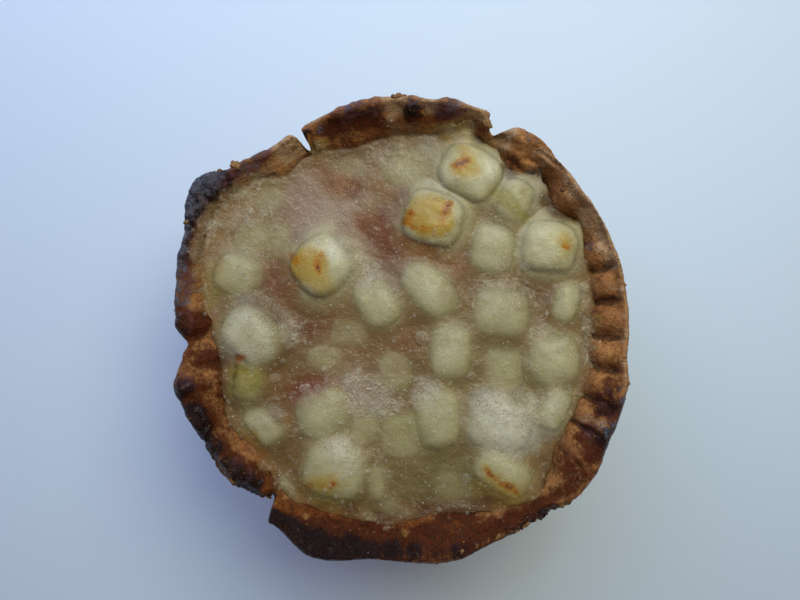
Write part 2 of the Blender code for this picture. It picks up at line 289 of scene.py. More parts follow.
def creases(tree, where, *layers):
    """Thin curling lines, as in a skin that has dried a little. A layer: the size of the
    curls in metres, and how thin the lines are."""
    lines = 0.0
    for size, thin in layers:
        drift = add(tree, "ShaderNodeTexNoise", None,
                    {"Vector": where, "Scale": 1.0 / size, "Detail": 2.0, "Distortion": 0.8})
        away = add(tree, "ShaderNodeMath", {"operation": "SUBTRACT"}, {0: drift, 1: 0.5})
        away = add(tree, "ShaderNodeMath", {"operation": "ABSOLUTE"}, {0: away})
        line = add(tree, "ShaderNodeMapRange", None,
                   {"Value": away, "From Max": thin, "To Min": 1.0, "To Max": 0.0})
        lines = add(tree, "ShaderNodeMath", {"operation": "MAXIMUM"}, {0: lines, 1: line})
    return lines


def edged(tree, mark, speckle, amount, start, end):
    """A mark whose edge is broken up by a speckle, from 0 below start to 1 above end."""
    uneven = add(tree, "ShaderNodeMath", {"operation": "SUBTRACT"}, {0: speckle, 1: 0.5})
    broken = add(tree, "ShaderNodeMath", {"operation": "MULTIPLY_ADD"}, {0: uneven, 1: amount, 2: mark})
    return add(tree, "ShaderNodeMapRange", {"interpolation_type": "SMOOTHSTEP"},
               {"Value": broken, "From Min": start, "From Max": end})


def laid(tree, ground, coat, share, strength=1.0):
    """Lays a coat of colour over a ground, where a share says so and as strongly as given.
    Inputs 6 and 7 of the mixing node are its two colours."""
    share = add(tree, "ShaderNodeMath", {"operation": "MULTIPLY"}, {0: share, 1: strength})
    return add(tree, "ShaderNodeMix", {"data_type": "RGBA"}, {0: share, 6: ground, 7: coat})


def bump(tree, *layers):
    """Stacks bumps. A layer: height from 0 to 1, and how deep it is in metres."""
    surface = {}
    for height, depth in layers:
        normal = add(tree, "ShaderNodeBump", None,
                     {"Height": height, "Distance": depth, "Strength": 1.0, **surface})
        surface = {"Normal": normal}
    return normal


# ---------------------------------------------------------------- crust

WALL_PITCH = 0.9 * MM  # between the fine mesh's rings down the wall
RIM_PITCH = 0.32 * MM  # and over the rim
HIDDEN_STEPS = 2  # to each of the solid's rings, under the filling
STEPS_AROUND = 5  # for each column of the solid
NECK_ROW, LIP_ROW, FOOT_ROW = 6, 8, 17  # the solid's rings under the lip, round it, and inside

# Depths of the crust's relief, in mm
MEAL_DEPTH, UNEVEN_DEPTH, SPECK_DEPTH = 0.13, 0.10, 0.12
CRACK_DEPTH, CUT_DEPTH, GAP_DEPTH = 0.16, 0.5, 0.35
TORN_DEPTH, LUMP_DEPTH, LINE_DEPTH = 0.7, 0.16, 0.05
BLISTER_SHARE = 0.9  # of a blister's height
LINE_PITCH = 0.16 * MM  # the fine lines along a fold lie 2 pi times this apart
LINED_FOLDS = ((50.0, 17.0), (190.0, 9.0))  # where they run, and how far, in degrees
SINGED_REACH, SINGED_SHARE = 1.7, 0.75  # of a burnt mark, in the chestnut brown around it

# Marks of the oven on the rim: pixels across and down, reach in pixels, and strength.
# Black, deep brown, orange-brown and golden, the pale dough that it spared, partly painted
# light on parts that lie in shade, and ash-blue bloom, partly painted sheen
BURNT = (
    (306, 127, 5, 0.9), (316, 130, 5, 0.5), (331, 121, 6, 0.4), (342, 114, 6, 0.45), (355, 112, 6, 0.45),
    (368, 107, 8, 0.65), (379, 109, 6, 0.45), (411, 107, 8, 1.0), (420, 111, 6, 0.8), (445, 109, 6, 0.35),
    (456, 110, 6, 0.3), (463, 116, 5, 0.15), (488, 122, 5, 0.2), (527, 131, 6, 0.5), (537, 136, 5, 0.3),
    (612, 392, 9, 0.5), (617, 405, 8, 0.6), (599, 410, 6, 0.6), (608, 413, 6, 0.6), (612, 428, 7, 0.7),
    (603, 436, 8, 0.7), (592, 441, 7, 0.5), (604, 446, 6, 0.6), (590, 237, 5, 0.4), (556, 219, 5, 0.4),
    (513, 166, 6, 0.4), (271, 514, 7, 1.0), (280, 520, 8, 1.0), (292, 527, 9, 1.0), (303, 537, 11, 1.0),
    (316, 546, 12, 1.0), (332, 550, 12, 1.0), (350, 551, 12, 1.0), (370, 552, 11, 1.0),
    (392, 553, 10, 0.9), (414, 554, 9, 0.8), (436, 553, 8, 0.6), (350, 538, 10, 0.6), (320, 533, 8, 0.7),
    (465, 548, 7, 0.5), (525, 517, 7, 0.6), (540, 511, 6, 0.6), (508, 526, 6, 0.5), (187, 386, 7, 1.0),
    (181, 395, 6, 0.7), (191, 409, 7, 1.0), (199, 415, 8, 1.0), (204, 427, 8, 1.0), (196, 427, 7, 1.0),
    (209, 438, 7, 0.9), (218, 447, 7, 0.8), (227, 463, 7, 0.9), (238, 471, 7, 0.9), (250, 479, 7, 0.9),
    (259, 484, 6, 0.8), (455, 552, 8, 0.7), (478, 545, 7, 0.5), (392, 545, 9, 0.5), (415, 545, 8, 0.4),
    (203, 178, 13, 1.0), (217, 179, 12, 1.0), (226, 184, 8, 0.9), (198, 193, 12, 1.0),
    (211, 194, 11, 1.0), (192, 209, 10, 1.0), (201, 210, 6, 0.7), (188, 224, 8, 1.0), (185, 240, 8, 1.0),
    (182, 256, 7, 0.9), (178, 272, 6, 0.7), (177, 290, 6, 0.6), (176, 308, 6, 0.6), (178, 323, 6, 0.7),
    (186, 332, 6, 0.6), (255, 153, 5, 0.4), (263, 150, 5, 0.6), (248, 158, 5, 0.3), (272, 147, 4, 0.4),
)
CHESTNUT = (
    (315, 132, 7, 0.6), (335, 124, 10, 0.9), (355, 119, 10, 1.0), (375, 117, 10, 0.9), (392, 120, 9, 0.6),
    (412, 118, 9, 0.9), (425, 119, 8, 0.7), (440, 118, 8, 0.8), (328, 130, 8, 0.7), (345, 128, 8, 0.7),
    (363, 126, 8, 0.7), (383, 126, 8, 0.5), (430, 112, 9, 0.5), (448, 115, 10, 0.8), (464, 110, 9, 0.4),
    (478, 126, 8, 0.4), (350, 142, 7, 0.5), (375, 138, 6, 0.2), (330, 138, 8, 0.5), (420, 126, 7, 0.4),
    (268, 159, 9, 0.3), (275, 170, 9, 0.3), (240, 175, 10, 0.15), (228, 193, 9, 0.9), (214, 204, 9, 0.8),
    (205, 220, 9, 0.9), (198, 235, 9, 0.9), (194, 252, 10, 0.9), (190, 268, 10, 0.4), (188, 285, 10, 0.4),
    (184, 302, 8, 0.5), (190, 318, 12, 1.0), (203, 322, 10, 1.0), (197, 332, 7, 0.8), (199, 285, 8, 0.5),
    (212, 358, 9, 0.7), (219, 362, 7, 0.7), (180, 392, 8, 0.8), (178, 378, 6, 0.4), (222, 378, 6, 0.5),
    (222, 394, 6, 0.5), (232, 412, 6, 0.5), (243, 432, 7, 0.6), (222, 449, 8, 0.7), (238, 461, 8, 0.6),
    (252, 468, 8, 0.7), (268, 478, 9, 0.9), (262, 489, 8, 0.8), (275, 492, 8, 0.7), (285, 514, 9, 0.9),
    (292, 509, 8, 0.7), (310, 514, 9, 0.8), (303, 521, 12, 1.0), (322, 525, 13, 1.0), (345, 530, 15, 1.0),
    (370, 533, 16, 1.0), (395, 535, 15, 1.0), (420, 535, 15, 1.0), (445, 533, 15, 1.0),
    (468, 532, 13, 1.0), (488, 526, 11, 0.8), (505, 520, 10, 0.9), (522, 513, 10, 0.9),
    (540, 506, 9, 0.9), (554, 496, 8, 0.8), (440, 546, 11, 0.9), (470, 542, 10, 0.8), (612, 380, 9, 0.5),
    (600, 392, 9, 0.4), (592, 403, 9, 0.5), (606, 412, 9, 0.5), (594, 425, 10, 0.5), (597, 450, 9, 0.7),
    (580, 465, 9, 0.3), (570, 472, 8, 0.8), (590, 470, 9, 0.5), (575, 485, 9, 0.7), (560, 450, 8, 0.5),
    (585, 438, 7, 0.6), (588, 453, 8, 0.9), (582, 478, 6, 0.6), (576, 441, 7, 0.4), (614, 362, 7, 0.5),
    (557, 205, 10, 0.2), (545, 208, 8, 0.3), (570, 208, 8, 0.2), (510, 155, 9, 0.4), (520, 163, 8, 0.4),
    (612, 265, 6, 0.3), (600, 255, 7, 0.3), (195, 352, 14, 0.65), (205, 370, 16, 0.4), (205, 386, 6, 0.5),
    (215, 397, 16, 0.45), (230, 425, 14, 0.5), (245, 448, 9, 0.15), (565, 490, 8, 0.7),
    (455, 515, 10, 0.9), (470, 513, 8, 0.8), (440, 517, 7, 0.6), (190, 365, 10, 0.3), (490, 540, 8, 0.8),
    (508, 531, 7, 0.7), (470, 548, 8, 0.8), (585, 434, 8, 0.6), (520, 520, 8, 0.8), (560, 465, 10, 0.6),
    (598, 340, 7, 0.3), (608, 341, 7, 0.5), (595, 240, 6, 0.4),
)
EMBER = (
    (350, 146, 7, 0.7), (335, 146, 6, 0.5), (375, 140, 7, 0.5), (395, 134, 6, 0.5), (473, 128, 6, 0.7),
    (444, 126, 6, 0.5), (432, 124, 6, 0.8), (443, 122, 5, 0.5), (470, 127, 5, 0.7), (475, 121, 4, 0.5),
    (244, 182, 6, 0.9), (236, 189, 6, 0.7), (226, 198, 6, 0.8), (197, 254, 5, 0.9), (193, 258, 4, 0.6),
    (203, 268, 6, 0.6), (202, 285, 6, 0.5), (212, 322, 5, 0.5), (185, 342, 7, 1.0), (184, 352, 4, 0.5),
    (277, 502, 6, 0.9), (284, 507, 6, 0.9), (300, 510, 6, 0.5), (318, 513, 6, 0.6), (335, 512, 7, 0.8),
    (350, 515, 7, 0.6), (305, 512, 8, 0.5), (290, 507, 7, 0.6), (400, 518, 8, 0.9), (415, 516, 8, 0.8),
    (430, 518, 7, 0.5), (270, 480, 7, 0.6), (405, 528, 8, 0.6), (455, 528, 8, 0.5), (270, 488, 6, 0.5),
    (256, 449, 6, 0.5), (593, 226, 6, 0.5), (590, 216, 6, 0.5), (556, 500, 5, 0.5), (490, 522, 6, 0.4),
    (520, 505, 5, 0.4), (462, 552, 4, 0.6), (380, 134, 8, 0.6), (365, 136, 8, 0.5), (450, 121, 6, 0.9),
    (345, 137, 8, 0.4), (400, 132, 7, 0.5), (420, 128, 7, 0.4), (462, 120, 5, 0.6), (430, 119, 6, 0.7),
)
GOLDEN = (
    (458, 130, 10, 1.0), (450, 133, 9, 1.0), (467, 134, 8, 1.0), (440, 132, 8, 0.7), (456, 126, 7, 0.8),
    (462, 138, 7, 0.9), (425, 129, 8, 0.4), (405, 130, 8, 0.2), (318, 143, 5, 1.0), (313, 149, 5, 1.0),
    (322, 150, 5, 0.8), (325, 142, 4, 0.7), (563, 190, 4, 0.8), (254, 184, 5, 0.7), (306, 516, 4, 0.5),
    (386, 527, 4, 0.3), (405, 533, 4, 0.5), (563, 502, 4, 0.6), (597, 318, 6, 0.7), (594, 325, 5, 0.6),
    (589, 412, 5, 0.5), (513, 531, 4, 0.5), (598, 222, 6, 0.5), (606, 238, 6, 0.5), (475, 113, 6, 0.6),
    (500, 135, 6, 0.5), (580, 452, 5, 0.3), (182, 334, 3, 0.7), (600, 278, 5, 0.3), (548, 470, 6, 0.5),
    (234, 478, 5, 0.3), (245, 488, 6, 0.4),
)
# Pale dough; some of these marks are painted light, lifting folds and edges of the rim that lie in shade
PALE_AND_LIT = (
    (399, 95, 5, 1.0), (397, 104, 6, 0.9), (392, 112, 6, 0.6), (391, 119, 5, 0.6), (374, 96, 4, 0.4),
    (385, 97, 5, 0.6), (418, 97, 5, 0.6), (430, 98, 6, 0.8), (448, 99, 5, 0.5), (465, 103, 5, 0.5),
    (405, 100, 6, 0.7), (470, 107, 5, 0.5), (580, 205, 8, 0.5), (590, 222, 7, 0.5), (600, 242, 7, 0.4),
    (257, 178, 6, 0.7), (270, 172, 6, 0.5), (284, 160, 8, 0.5), (575, 190, 8, 0.7), (592, 210, 9, 0.9),
    (603, 232, 9, 0.9), (612, 255, 8, 0.7), (617, 290, 8, 0.5), (618, 330, 6, 0.4), (602, 424, 6, 0.7),
    (588, 418, 6, 0.6), (340, 104, 5, 0.6), (355, 99, 4, 0.6), (458, 100, 6, 0.6), (476, 115, 8, 0.8),
    (468, 106, 7, 0.8), (432, 106, 8, 0.9), (392, 104, 8, 1.0), (268, 474, 6, 0.4), (597, 425, 5, 0.3),
    (578, 420, 6, 0.4), (402, 112, 4, 0.5), (431, 104, 6, 0.8), (428, 114, 5, 0.4), (348, 106, 3, 0.5),
    (322, 120, 5, 0.5), (438, 97, 5, 0.6), (482, 114, 6, 0.7), (474, 110, 4, 0.4), (289, 142, 10, 1.0),
    (300, 147, 7, 0.9), (279, 149, 8, 0.8), (290, 152, 9, 0.9), (600, 225, 7, 0.9), (593, 214, 6, 0.7),
    (235, 164, 5, 1.0), (306, 143, 4, 0.5), (188, 302, 6, 0.5), (193, 310, 5, 0.4), (200, 346, 6, 0.2),
    (192, 362, 6, 0.2), (188, 373, 5, 0.3), (224, 420, 6, 0.15), (232, 436, 6, 0.15), (250, 458, 6, 0.3),
    (216, 432, 5, 0.4), (498, 141, 9, 0.7), (500, 134, 7, 0.9), (512, 131, 7, 0.8), (490, 137, 6, 0.5),
    (502, 147, 4, 0.6), (548, 157, 7, 0.5), (536, 152, 6, 0.4), (560, 164, 6, 0.6), (570, 182, 7, 0.4),
    (566, 176, 6, 0.5), (580, 192, 7, 0.7), (592, 208, 7, 0.7), (602, 225, 8, 0.8), (585, 220, 7, 0.7),
    (609, 245, 6, 0.6), (616, 265, 5, 0.5), (606, 282, 6, 0.3), (610, 262, 7, 0.8), (603, 248, 7, 0.7),
    (350, 98, 5, 0.6), (365, 97, 5, 0.5), (260, 172, 6, 0.5), (622, 290, 5, 0.6), (625, 315, 5, 0.6),
    (625, 340, 5, 0.6), (624, 362, 5, 0.5), (506, 146, 6, 0.7), (545, 150, 6, 0.5), (545, 165, 6, 0.4),
    (602, 229, 8, 0.7), (520, 508, 6, 0.3), (562, 438, 6, 0.3), (552, 470, 7, 0.4), (500, 513, 5, 0.4),
    (205, 447, 4, 0.3), (228, 474, 5, 0.4), (222, 463, 5, 0.4), (610, 314, 6, 0.25),
)
# Ash-blue bloom on burnt places, partly painted sheen: blue-grey glints on the black, glossy char
ASH_AND_SHEEN = (
    (204, 176, 10, 1.0), (218, 172, 8, 0.9), (195, 185, 8, 0.9), (207, 188, 9, 0.7), (190, 200, 6, 0.7),
    (187, 212, 5, 0.7), (184, 226, 5, 0.8), (181, 242, 5, 0.9), (178, 258, 4, 0.8), (176, 275, 4, 0.6),
    (175, 292, 4, 0.4), (175, 310, 4, 0.4), (412, 102, 4, 0.5), (373, 100, 4, 0.3), (453, 103, 5, 0.5),
    (200, 201, 9, 0.6), (214, 186, 8, 0.6), (210, 178, 9, 0.6), (180, 236, 5, 0.7), (186, 218, 6, 0.7),
    (347, 110, 3, 0.5), (384, 104, 4, 0.4), (188, 385, 3, 0.4), (605, 430, 7, 0.4), (350, 103, 6, 0.7),
    (362, 101, 5, 0.5), (452, 106, 7, 0.6), (420, 103, 6, 0.5), (320, 130, 5, 0.5), (250, 168, 8, 0.5),
    (258, 160, 7, 0.4), (240, 170, 6, 0.5), (196, 410, 4, 0.4), (200, 413, 3, 0.3), (206, 430, 3, 0.5),
    (262, 479, 3, 0.5), (622, 400, 4, 0.7), (614, 424, 4, 0.6), (609, 434, 5, 0.6), (620, 388, 4, 0.4),
    (530, 137, 5, 0.6), (537, 141, 4, 0.3), (310, 546, 4, 0.4), (588, 245, 5, 0.8), (330, 552, 4, 0.3),
    (184, 232, 7, 0.9), (188, 298, 6, 0.6), (200, 215, 9, 0.5), (181, 250, 7, 1.0), (180, 266, 7, 1.0),
    (179, 284, 6, 0.9), (178, 300, 6, 0.7), (178, 318, 5, 0.6), (192, 206, 6, 0.8),
)
# Where jelly scorched on it, dark and purplish, and on the blisters partly a lilac-grey painted sheen
PLUM_AND_SHEEN = (
    (345, 105, 6, 0.7), (358, 101, 6, 0.7), (372, 99, 5, 0.6), (412, 100, 5, 0.6), (452, 102, 6, 0.7),
    (440, 101, 5, 0.5), (333, 112, 5, 0.5), (464, 107, 5, 0.4), (350, 112, 7, 0.8), (362, 108, 7, 0.6),
    (380, 107, 7, 0.8), (372, 112, 7, 0.5), (450, 110, 9, 0.9), (440, 113, 7, 0.6), (462, 112, 6, 0.6),
    (418, 108, 7, 0.4), (342, 118, 6, 0.5), (426, 107, 6, 0.5), (240, 170, 9, 0.9), (250, 166, 8, 0.9),
    (262, 158, 8, 0.9), (270, 152, 6, 0.4), (228, 180, 8, 0.6), (220, 186, 8, 0.5), (205, 200, 9, 0.5),
    (190, 380, 8, 0.6), (192, 242, 8, 0.6), (188, 256, 8, 0.6), (190, 278, 9, 0.8), (186, 292, 7, 0.5),
    (190, 325, 7, 0.4), (184, 312, 6, 0.5), (235, 462, 7, 0.5), (215, 442, 6, 0.4), (205, 420, 6, 0.3),
    (320, 125, 7, 0.4), (312, 128, 5, 0.4), (590, 430, 8, 0.65), (600, 402, 7, 0.5), (606, 388, 6, 0.4),
    (545, 165, 8, 0.3), (198, 222, 7, 0.5), (612, 420, 7, 0.5), (250, 472, 7, 0.4), (615, 370, 5, 0.4),
    (530, 134, 6, 0.5),
)
# Where juice and froth boiled over the rim and dried there, sticky and golden
STICKY = (
    (200, 242, 9, 0.8), (205, 226, 9, 0.9), (214, 212, 9, 0.95), (228, 200, 9, 0.95), (242, 189, 9, 0.9),
    (257, 179, 9, 0.8), (272, 168, 9, 0.7), (290, 158, 8, 0.5), (197, 257, 8, 0.8), (196, 273, 8, 0.7),
    (200, 290, 8, 0.6), (205, 306, 7, 0.5), (262, 466, 5, 0.5), (275, 486, 5, 0.5), (254, 455, 5, 0.4),
    (388, 527, 5, 0.4), (534, 173, 8, 0.9), (350, 142, 7, 0.3), (375, 138, 7, 0.3), (395, 134, 8, 0.7),
    (415, 132, 8, 0.6), (438, 134, 8, 0.6), (318, 146, 6, 0.9), (456, 130, 10, 1.0), (467, 131, 8, 0.9),
    (588, 285, 5, 0.5), (588, 305, 6, 0.6), (589, 325, 6, 0.6), (590, 345, 6, 0.7), (589, 362, 6, 0.7),
    (586, 378, 6, 0.6), (580, 392, 5, 0.5), (500, 150, 5, 0.3),
)
# Where the rim flakes off in thin dry leaves
FLAKY = (
    (216, 462, 4, 0.8), (222, 470, 5, 0.9), (230, 477, 5, 0.9), (238, 484, 5, 0.9), (246, 490, 5, 0.9),
    (256, 492, 5, 0.7), (266, 497, 5, 0.7), (273, 502, 4, 0.6), (504, 533, 4, 0.6), (514, 531, 4, 0.8),
    (522, 525, 4, 0.7), (535, 520, 4, 0.5), (548, 508, 4, 0.6), (562, 503, 5, 0.9), (488, 541, 4, 0.5),
    (476, 546, 4, 0.4), (212, 450, 3, 0.5), (178, 367, 4, 0.6), (176, 355, 4, 0.5), (182, 345, 5, 0.6),
    (485, 117, 4, 0.5), (500, 133, 5, 0.4),
)
# Burst blisters: pixels across and down, reach in pixels, and height in mm
BLISTERS = (
    (342, 112, 6, 0.35), (356, 109, 7, 0.4), (372, 104, 9, 0.6), (411, 106, 9, 0.7), (452, 106, 10, 0.7),
    (484, 116, 7, 0.5), (187, 386, 8, 0.6), (197, 412, 9, 0.6), (203, 426, 8, 0.5), (230, 459, 7, 0.4),
    (244, 467, 8, 0.5), (258, 477, 8, 0.5), (310, 545, 8, 0.4), (330, 551, 7, 0.4), (262, 154, 7, 0.4),
    (288, 143, 12, 0.4), (285, 522, 7, 0.45), (300, 533, 8, 0.5), (346, 548, 8, 0.45), (360, 540, 7, 0.4),
    (378, 550, 8, 0.45), (400, 545, 7, 0.4), (420, 550, 8, 0.45), (440, 542, 6, 0.35), (330, 535, 7, 0.4),
    (193, 200, 8, 0.3),
)
RAGGED_LEDGES = ((296.0, 316.0), (206.0, 236.0))  # degrees, where flakes stick out
# The crisp cuts between the crimps of the right side, in degrees, and their strength
CUTS = (
    (24.1, 0.5), (16.0, 1.0), (7.0, 1.2), (-2.8, 1.0), (-11.8, 1.0), (-20.8, 1.1), (-29.3, 0.9),
    (-38.0, 0.5), (33.5, 0.35),
)
CUT_WIDTH = 0.75  # degrees
FLAP_START, FLAP_FOOT = 300, 140  # the torn flap lies right of and above these pixels
# Where the lip stands further out or in: degrees, reach in degrees, and how far in mm
LIP_PUSHES = (
    (147, 6, 1.0), (160, 12, 0.55), (178, 9, 0.35), (191, 5, 0.6), (211, 5, 0.6), (227, 5, 1.1),
    (60, 3.5, 0.7), (322, 12, 0.4), (66.3, 2.4, -3.4), (83, 7, -0.4), (262, 13, -0.5), (299, 4, 1.0),
    (306, 5, 0.9), (312, 3, 0.4), (335, 6, 0.3), (222, 5, 0.5), (232, 3, 0.8), (183, 2.5, 0.6),
    (116.2, 2.2, -2.2),
)
# Where the torn flap's end leans over the notch: degrees, reach in degrees, and how far in mm
LIP_LEANS = ((113.2, 2.6, 2.4), (70.6, 2.2, -1.9))


def crust_corners():
    """The solid crust's corners as rings, from the base over the rim to the floor."""
    solid = merged_copy("crust")
    base = [corner for corner in solid.verts if corner.co.z < MERGE]
    middle = sum((corner.co for corner in base), Vector()) / len(base)
    around = len(base)

    def column(corner):
        turn = math.atan2(corner.co.y - middle.y, corner.co.x - middle.x)
        return turn / math.tau * around

    first = column(base[0])
    rings = {round(column(corner) - first) % around: [corner] for corner in base}
    for number, chain in rings.items():
        grown = True
        while grown:
            grown = False
            for edge in chain[-1].link_edges:
                other = edge.other_vert(chain[-1])
                if other not in chain and round(column(other) - first) % around == number:
                    chain.append(other)
                    grown = True
                    break
    ordered = [[tuple(corner.co) for corner in rings[number]] for number in range(around)]
    solid.free()
    return np.array(ordered).transpose(1, 0, 2), middle


def fine_rings(coarse):
    """The rings of the fine mesh, and the solid's ring that each lies on or between."""
    gaps = np.linalg.norm(np.diff(coarse, axis=0), axis=2).mean(axis=1)
    where = []
    for row, gap in enumerate(gaps):
        pitch = WALL_PITCH if row < NECK_ROW else RIM_PITCH
        steps = HIDDEN_STEPS if row > FOOT_ROW else max(2, round(gap / pitch))
        where += [row + step / steps for step in range(steps)]
    rows = np.array([*where, len(coarse) - 1.0])
    columns = np.arange(coarse.shape[1] * STEPS_AROUND) / STEPS_AROUND
    tall = spline(coarse, rows)
    return spline(tall.transpose(1, 0, 2), columns, closed=True).transpose(1, 0, 2), rows


def smooth_around(field, reach):
    """A field of rings, each evened out over a number of columns to both sides."""
    return sum(np.roll(field, step, axis=1) for step in range(-reach, reach + 1)) / (2 * reach + 1)


def rim_marks(pixels, on_rim):
    """How strongly each of the oven's marks lies at each corner of the crust."""
    singed = [(across, down, SINGED_REACH * reach, SINGED_SHARE * strength)
              for across, down, reach, strength in BURNT if down > FLAP_FOOT or across < FLAP_START]
    tables = {"burnt": BURNT, "chestnut": (*CHESTNUT, *singed), "ember": EMBER, "golden": GOLDEN,
              "pale": PALE_AND_LIT, "sticky": STICKY, "flaky": FLAKY, "ashen": ASH_AND_SHEEN, "plum": PLUM_AND_SHEEN,
              "blister": BLISTERS}
    marks = {name: marked(pixels, table) * on_rim for name, table in tables.items()}
    marks["chestnut"] *= 1.0 - 0.75 * np.maximum(marks["pale"], marks["golden"])
    marks["burnt"] *= 1.0 - 0.35 * marks["pale"]
    return marks


def crimp_cuts(points, degrees):
    """The cuts between crimps at each corner, and the narrow gaps at their bottoms."""
    cuts, gaps = np.zeros((2, len(points)))
    wander = 0.35 * fractal(points, 3.0 * MM, 2, 51.0)
    for angle, strength in CUTS:
        away = turn_between(degrees + wander, angle)
        cuts = np.maximum(cuts, strength * hump(away / CUT_WIDTH))
        gaps = np.maximum(gaps, strength * hump(away / CUT_WIDTH / 3.0))
    return cuts, gaps


def crust_relief(points, middle, on_rim, on_pads, marks):
    """The crust's relief in mm: mealy grain, blisters, cracks, cuts and the fine lines that
    the hands left on its folds, and soft lumps down its wall."""
    turn, radius = polar(points, middle)
    degrees = np.degrees(turn) % 360.0
    cuts, gaps = crimp_cuts(points, degrees)
    pale, burnt, chestnut, blister = (marks[name] for name in ("pale", "burnt", "chestnut", "blister"))
    cracks = hump(fractal(points, 3.2 * MM, 3, 41.0) / 0.08)
    even = (1.0 - 0.6 * chestnut) * (1.0 - 0.35 * (np.cos(np.radians(degrees)) > 0.5))
    relief = MEAL_DEPTH * fractal(points, 2.2 * MM, 4) * (0.35 + 0.65 * on_rim) * even
    relief += UNEVEN_DEPTH * fractal(points, 9.0 * MM, 2, 5.0)
    relief += BLISTER_SHARE * blister * (0.55 + 0.45 * cells(points, 1.5 * MM, 3.0))
    relief += burnt * (0.22 * cells(points, 1.3 * MM, 3.0) + 0.12 * cells(points, 0.7 * MM, 9.0) - 0.12)
    relief += on_rim * SPECK_DEPTH * fractal(points, 0.9 * MM, 3, 7.0) * even
    relief -= on_rim * CRACK_DEPTH * cracks * (1.0 - 0.8 * pale) * even
    relief -= on_rim * on_pads * (CUT_DEPTH * cuts + GAP_DEPTH * gaps)
    folds = sum(hump((degrees - angle) / reach) for angle, reach in LINED_FOLDS)
    drift = 1.2 * fractal(points, 4.0 * MM, 2, 11.0)
    relief += on_rim * folds * LINE_DEPTH * np.sin(radius / LINE_PITCH + drift * 3.0)
    lumpy = ease(fractal(points, 8.0 * MM, 2, 31.0) * 3.0)
    relief += (1.0 - on_rim) * LUMP_DEPTH * cells(points, 3.2 * MM, 21.0) * lumpy
    return relief, cuts


def pushed_lip(points, row, degrees):
    """The crust's corners, with the lip pushed out or in and the flap's ends leaned over."""
    x, y = np.cos(np.radians(degrees)), np.sin(np.radians(degrees))
    push = sum(far * hump(turn_between(degrees, angle) / reach) for angle, reach, far in LIP_PUSHES)
    push *= hump((row - LIP_ROW) / 2.5) * MM
    lean = sum(far * hump((degrees - angle) / reach) for angle, reach, far in LIP_LEANS)
    lean *= hump((row - LIP_ROW - 0.5) / 2.0) * MM
    return points + np.stack([push * x - lean * y, push * y + lean * x, 0.0 * x], axis=1)


def make_crust(material):
    """The crust: a fine mesh through the solid's own rings, with its relief and its marks."""
    coarse, middle = crust_corners()
    rings, rows = fine_rings(coarse)
    count, around = rings.shape[:2]
    mesh = ring_solid("baked_crust", rings)
    points = corners(mesh)
    row = np.concatenate([np.repeat(rows, around), [0.0, FOOT_ROW + 2.0]])
    degrees = np.degrees(polar(points, middle)[0]) % 360.0
    on_rim = ease((row - NECK_ROW) / (LIP_ROW - NECK_ROW))
    on_pads = ease((row - LIP_ROW - 1.2) / 3.5) * ease((FOOT_ROW + 0.6 - row) / 1.5)
    marks = rim_marks(photo_pixels(points), on_rim)

    relief, cuts = crust_relief(points, middle, on_rim, on_pads, marks)
    del marks["blister"]  # it is relief alone
    visible = ease((FOOT_ROW + 1.5 - row) / 1.5) * ease((points[:, 2] / MM) / 1.2)
    ledge = sum(ease((degrees - start) / 4.0) * ease((end - degrees) / 4.0)
                for start, end in RAGGED_LEDGES)
    torn = ledge * hump((row - LIP_ROW - 0.3) / 1.4) * TORN_DEPTH * fractal(points, 1.1 * MM, 3, 17.0)
    moved = points + corner_normals(mesh) * ((relief + torn) * visible * MM)[:, None]
    set_corners(mesh, pushed_lip(moved, row, degrees))

    # Painted shade: the crust is darkened in the hollows of its relief and in the cuts between the
    # crimps, where shade falls, less on golden places
    lifted = (relief * visible)[:-2].reshape(count, around)
    hollow = (smooth_around(smooth_around(lifted, 5).T, 5).T - lifted) / 0.35
    hollow = np.concatenate([np.clip(hollow, -1.0, 1.0).ravel(), [0.0, 0.0]])
    hollow = np.maximum(hollow, 0.75 * cuts * on_pads) * (1.0 - 0.7 * marks["golden"])
    lip = ease(row - LIP_ROW + 1.0) * ease((LIP_ROW + 2.9 - row) / 1.2)
    lip *= np.exp(-((turn_between(degrees, 10.0) / 44.0) ** 8))
    marks["pale"] = np.maximum(marks["pale"], 0.62 * lip)
    for name, values in {**marks, "hollow": hollow * on_rim, "rim": on_rim}.items():
        write_attribute(mesh, name, values)
    return place("baked_crust", mesh, material, ["crust"])


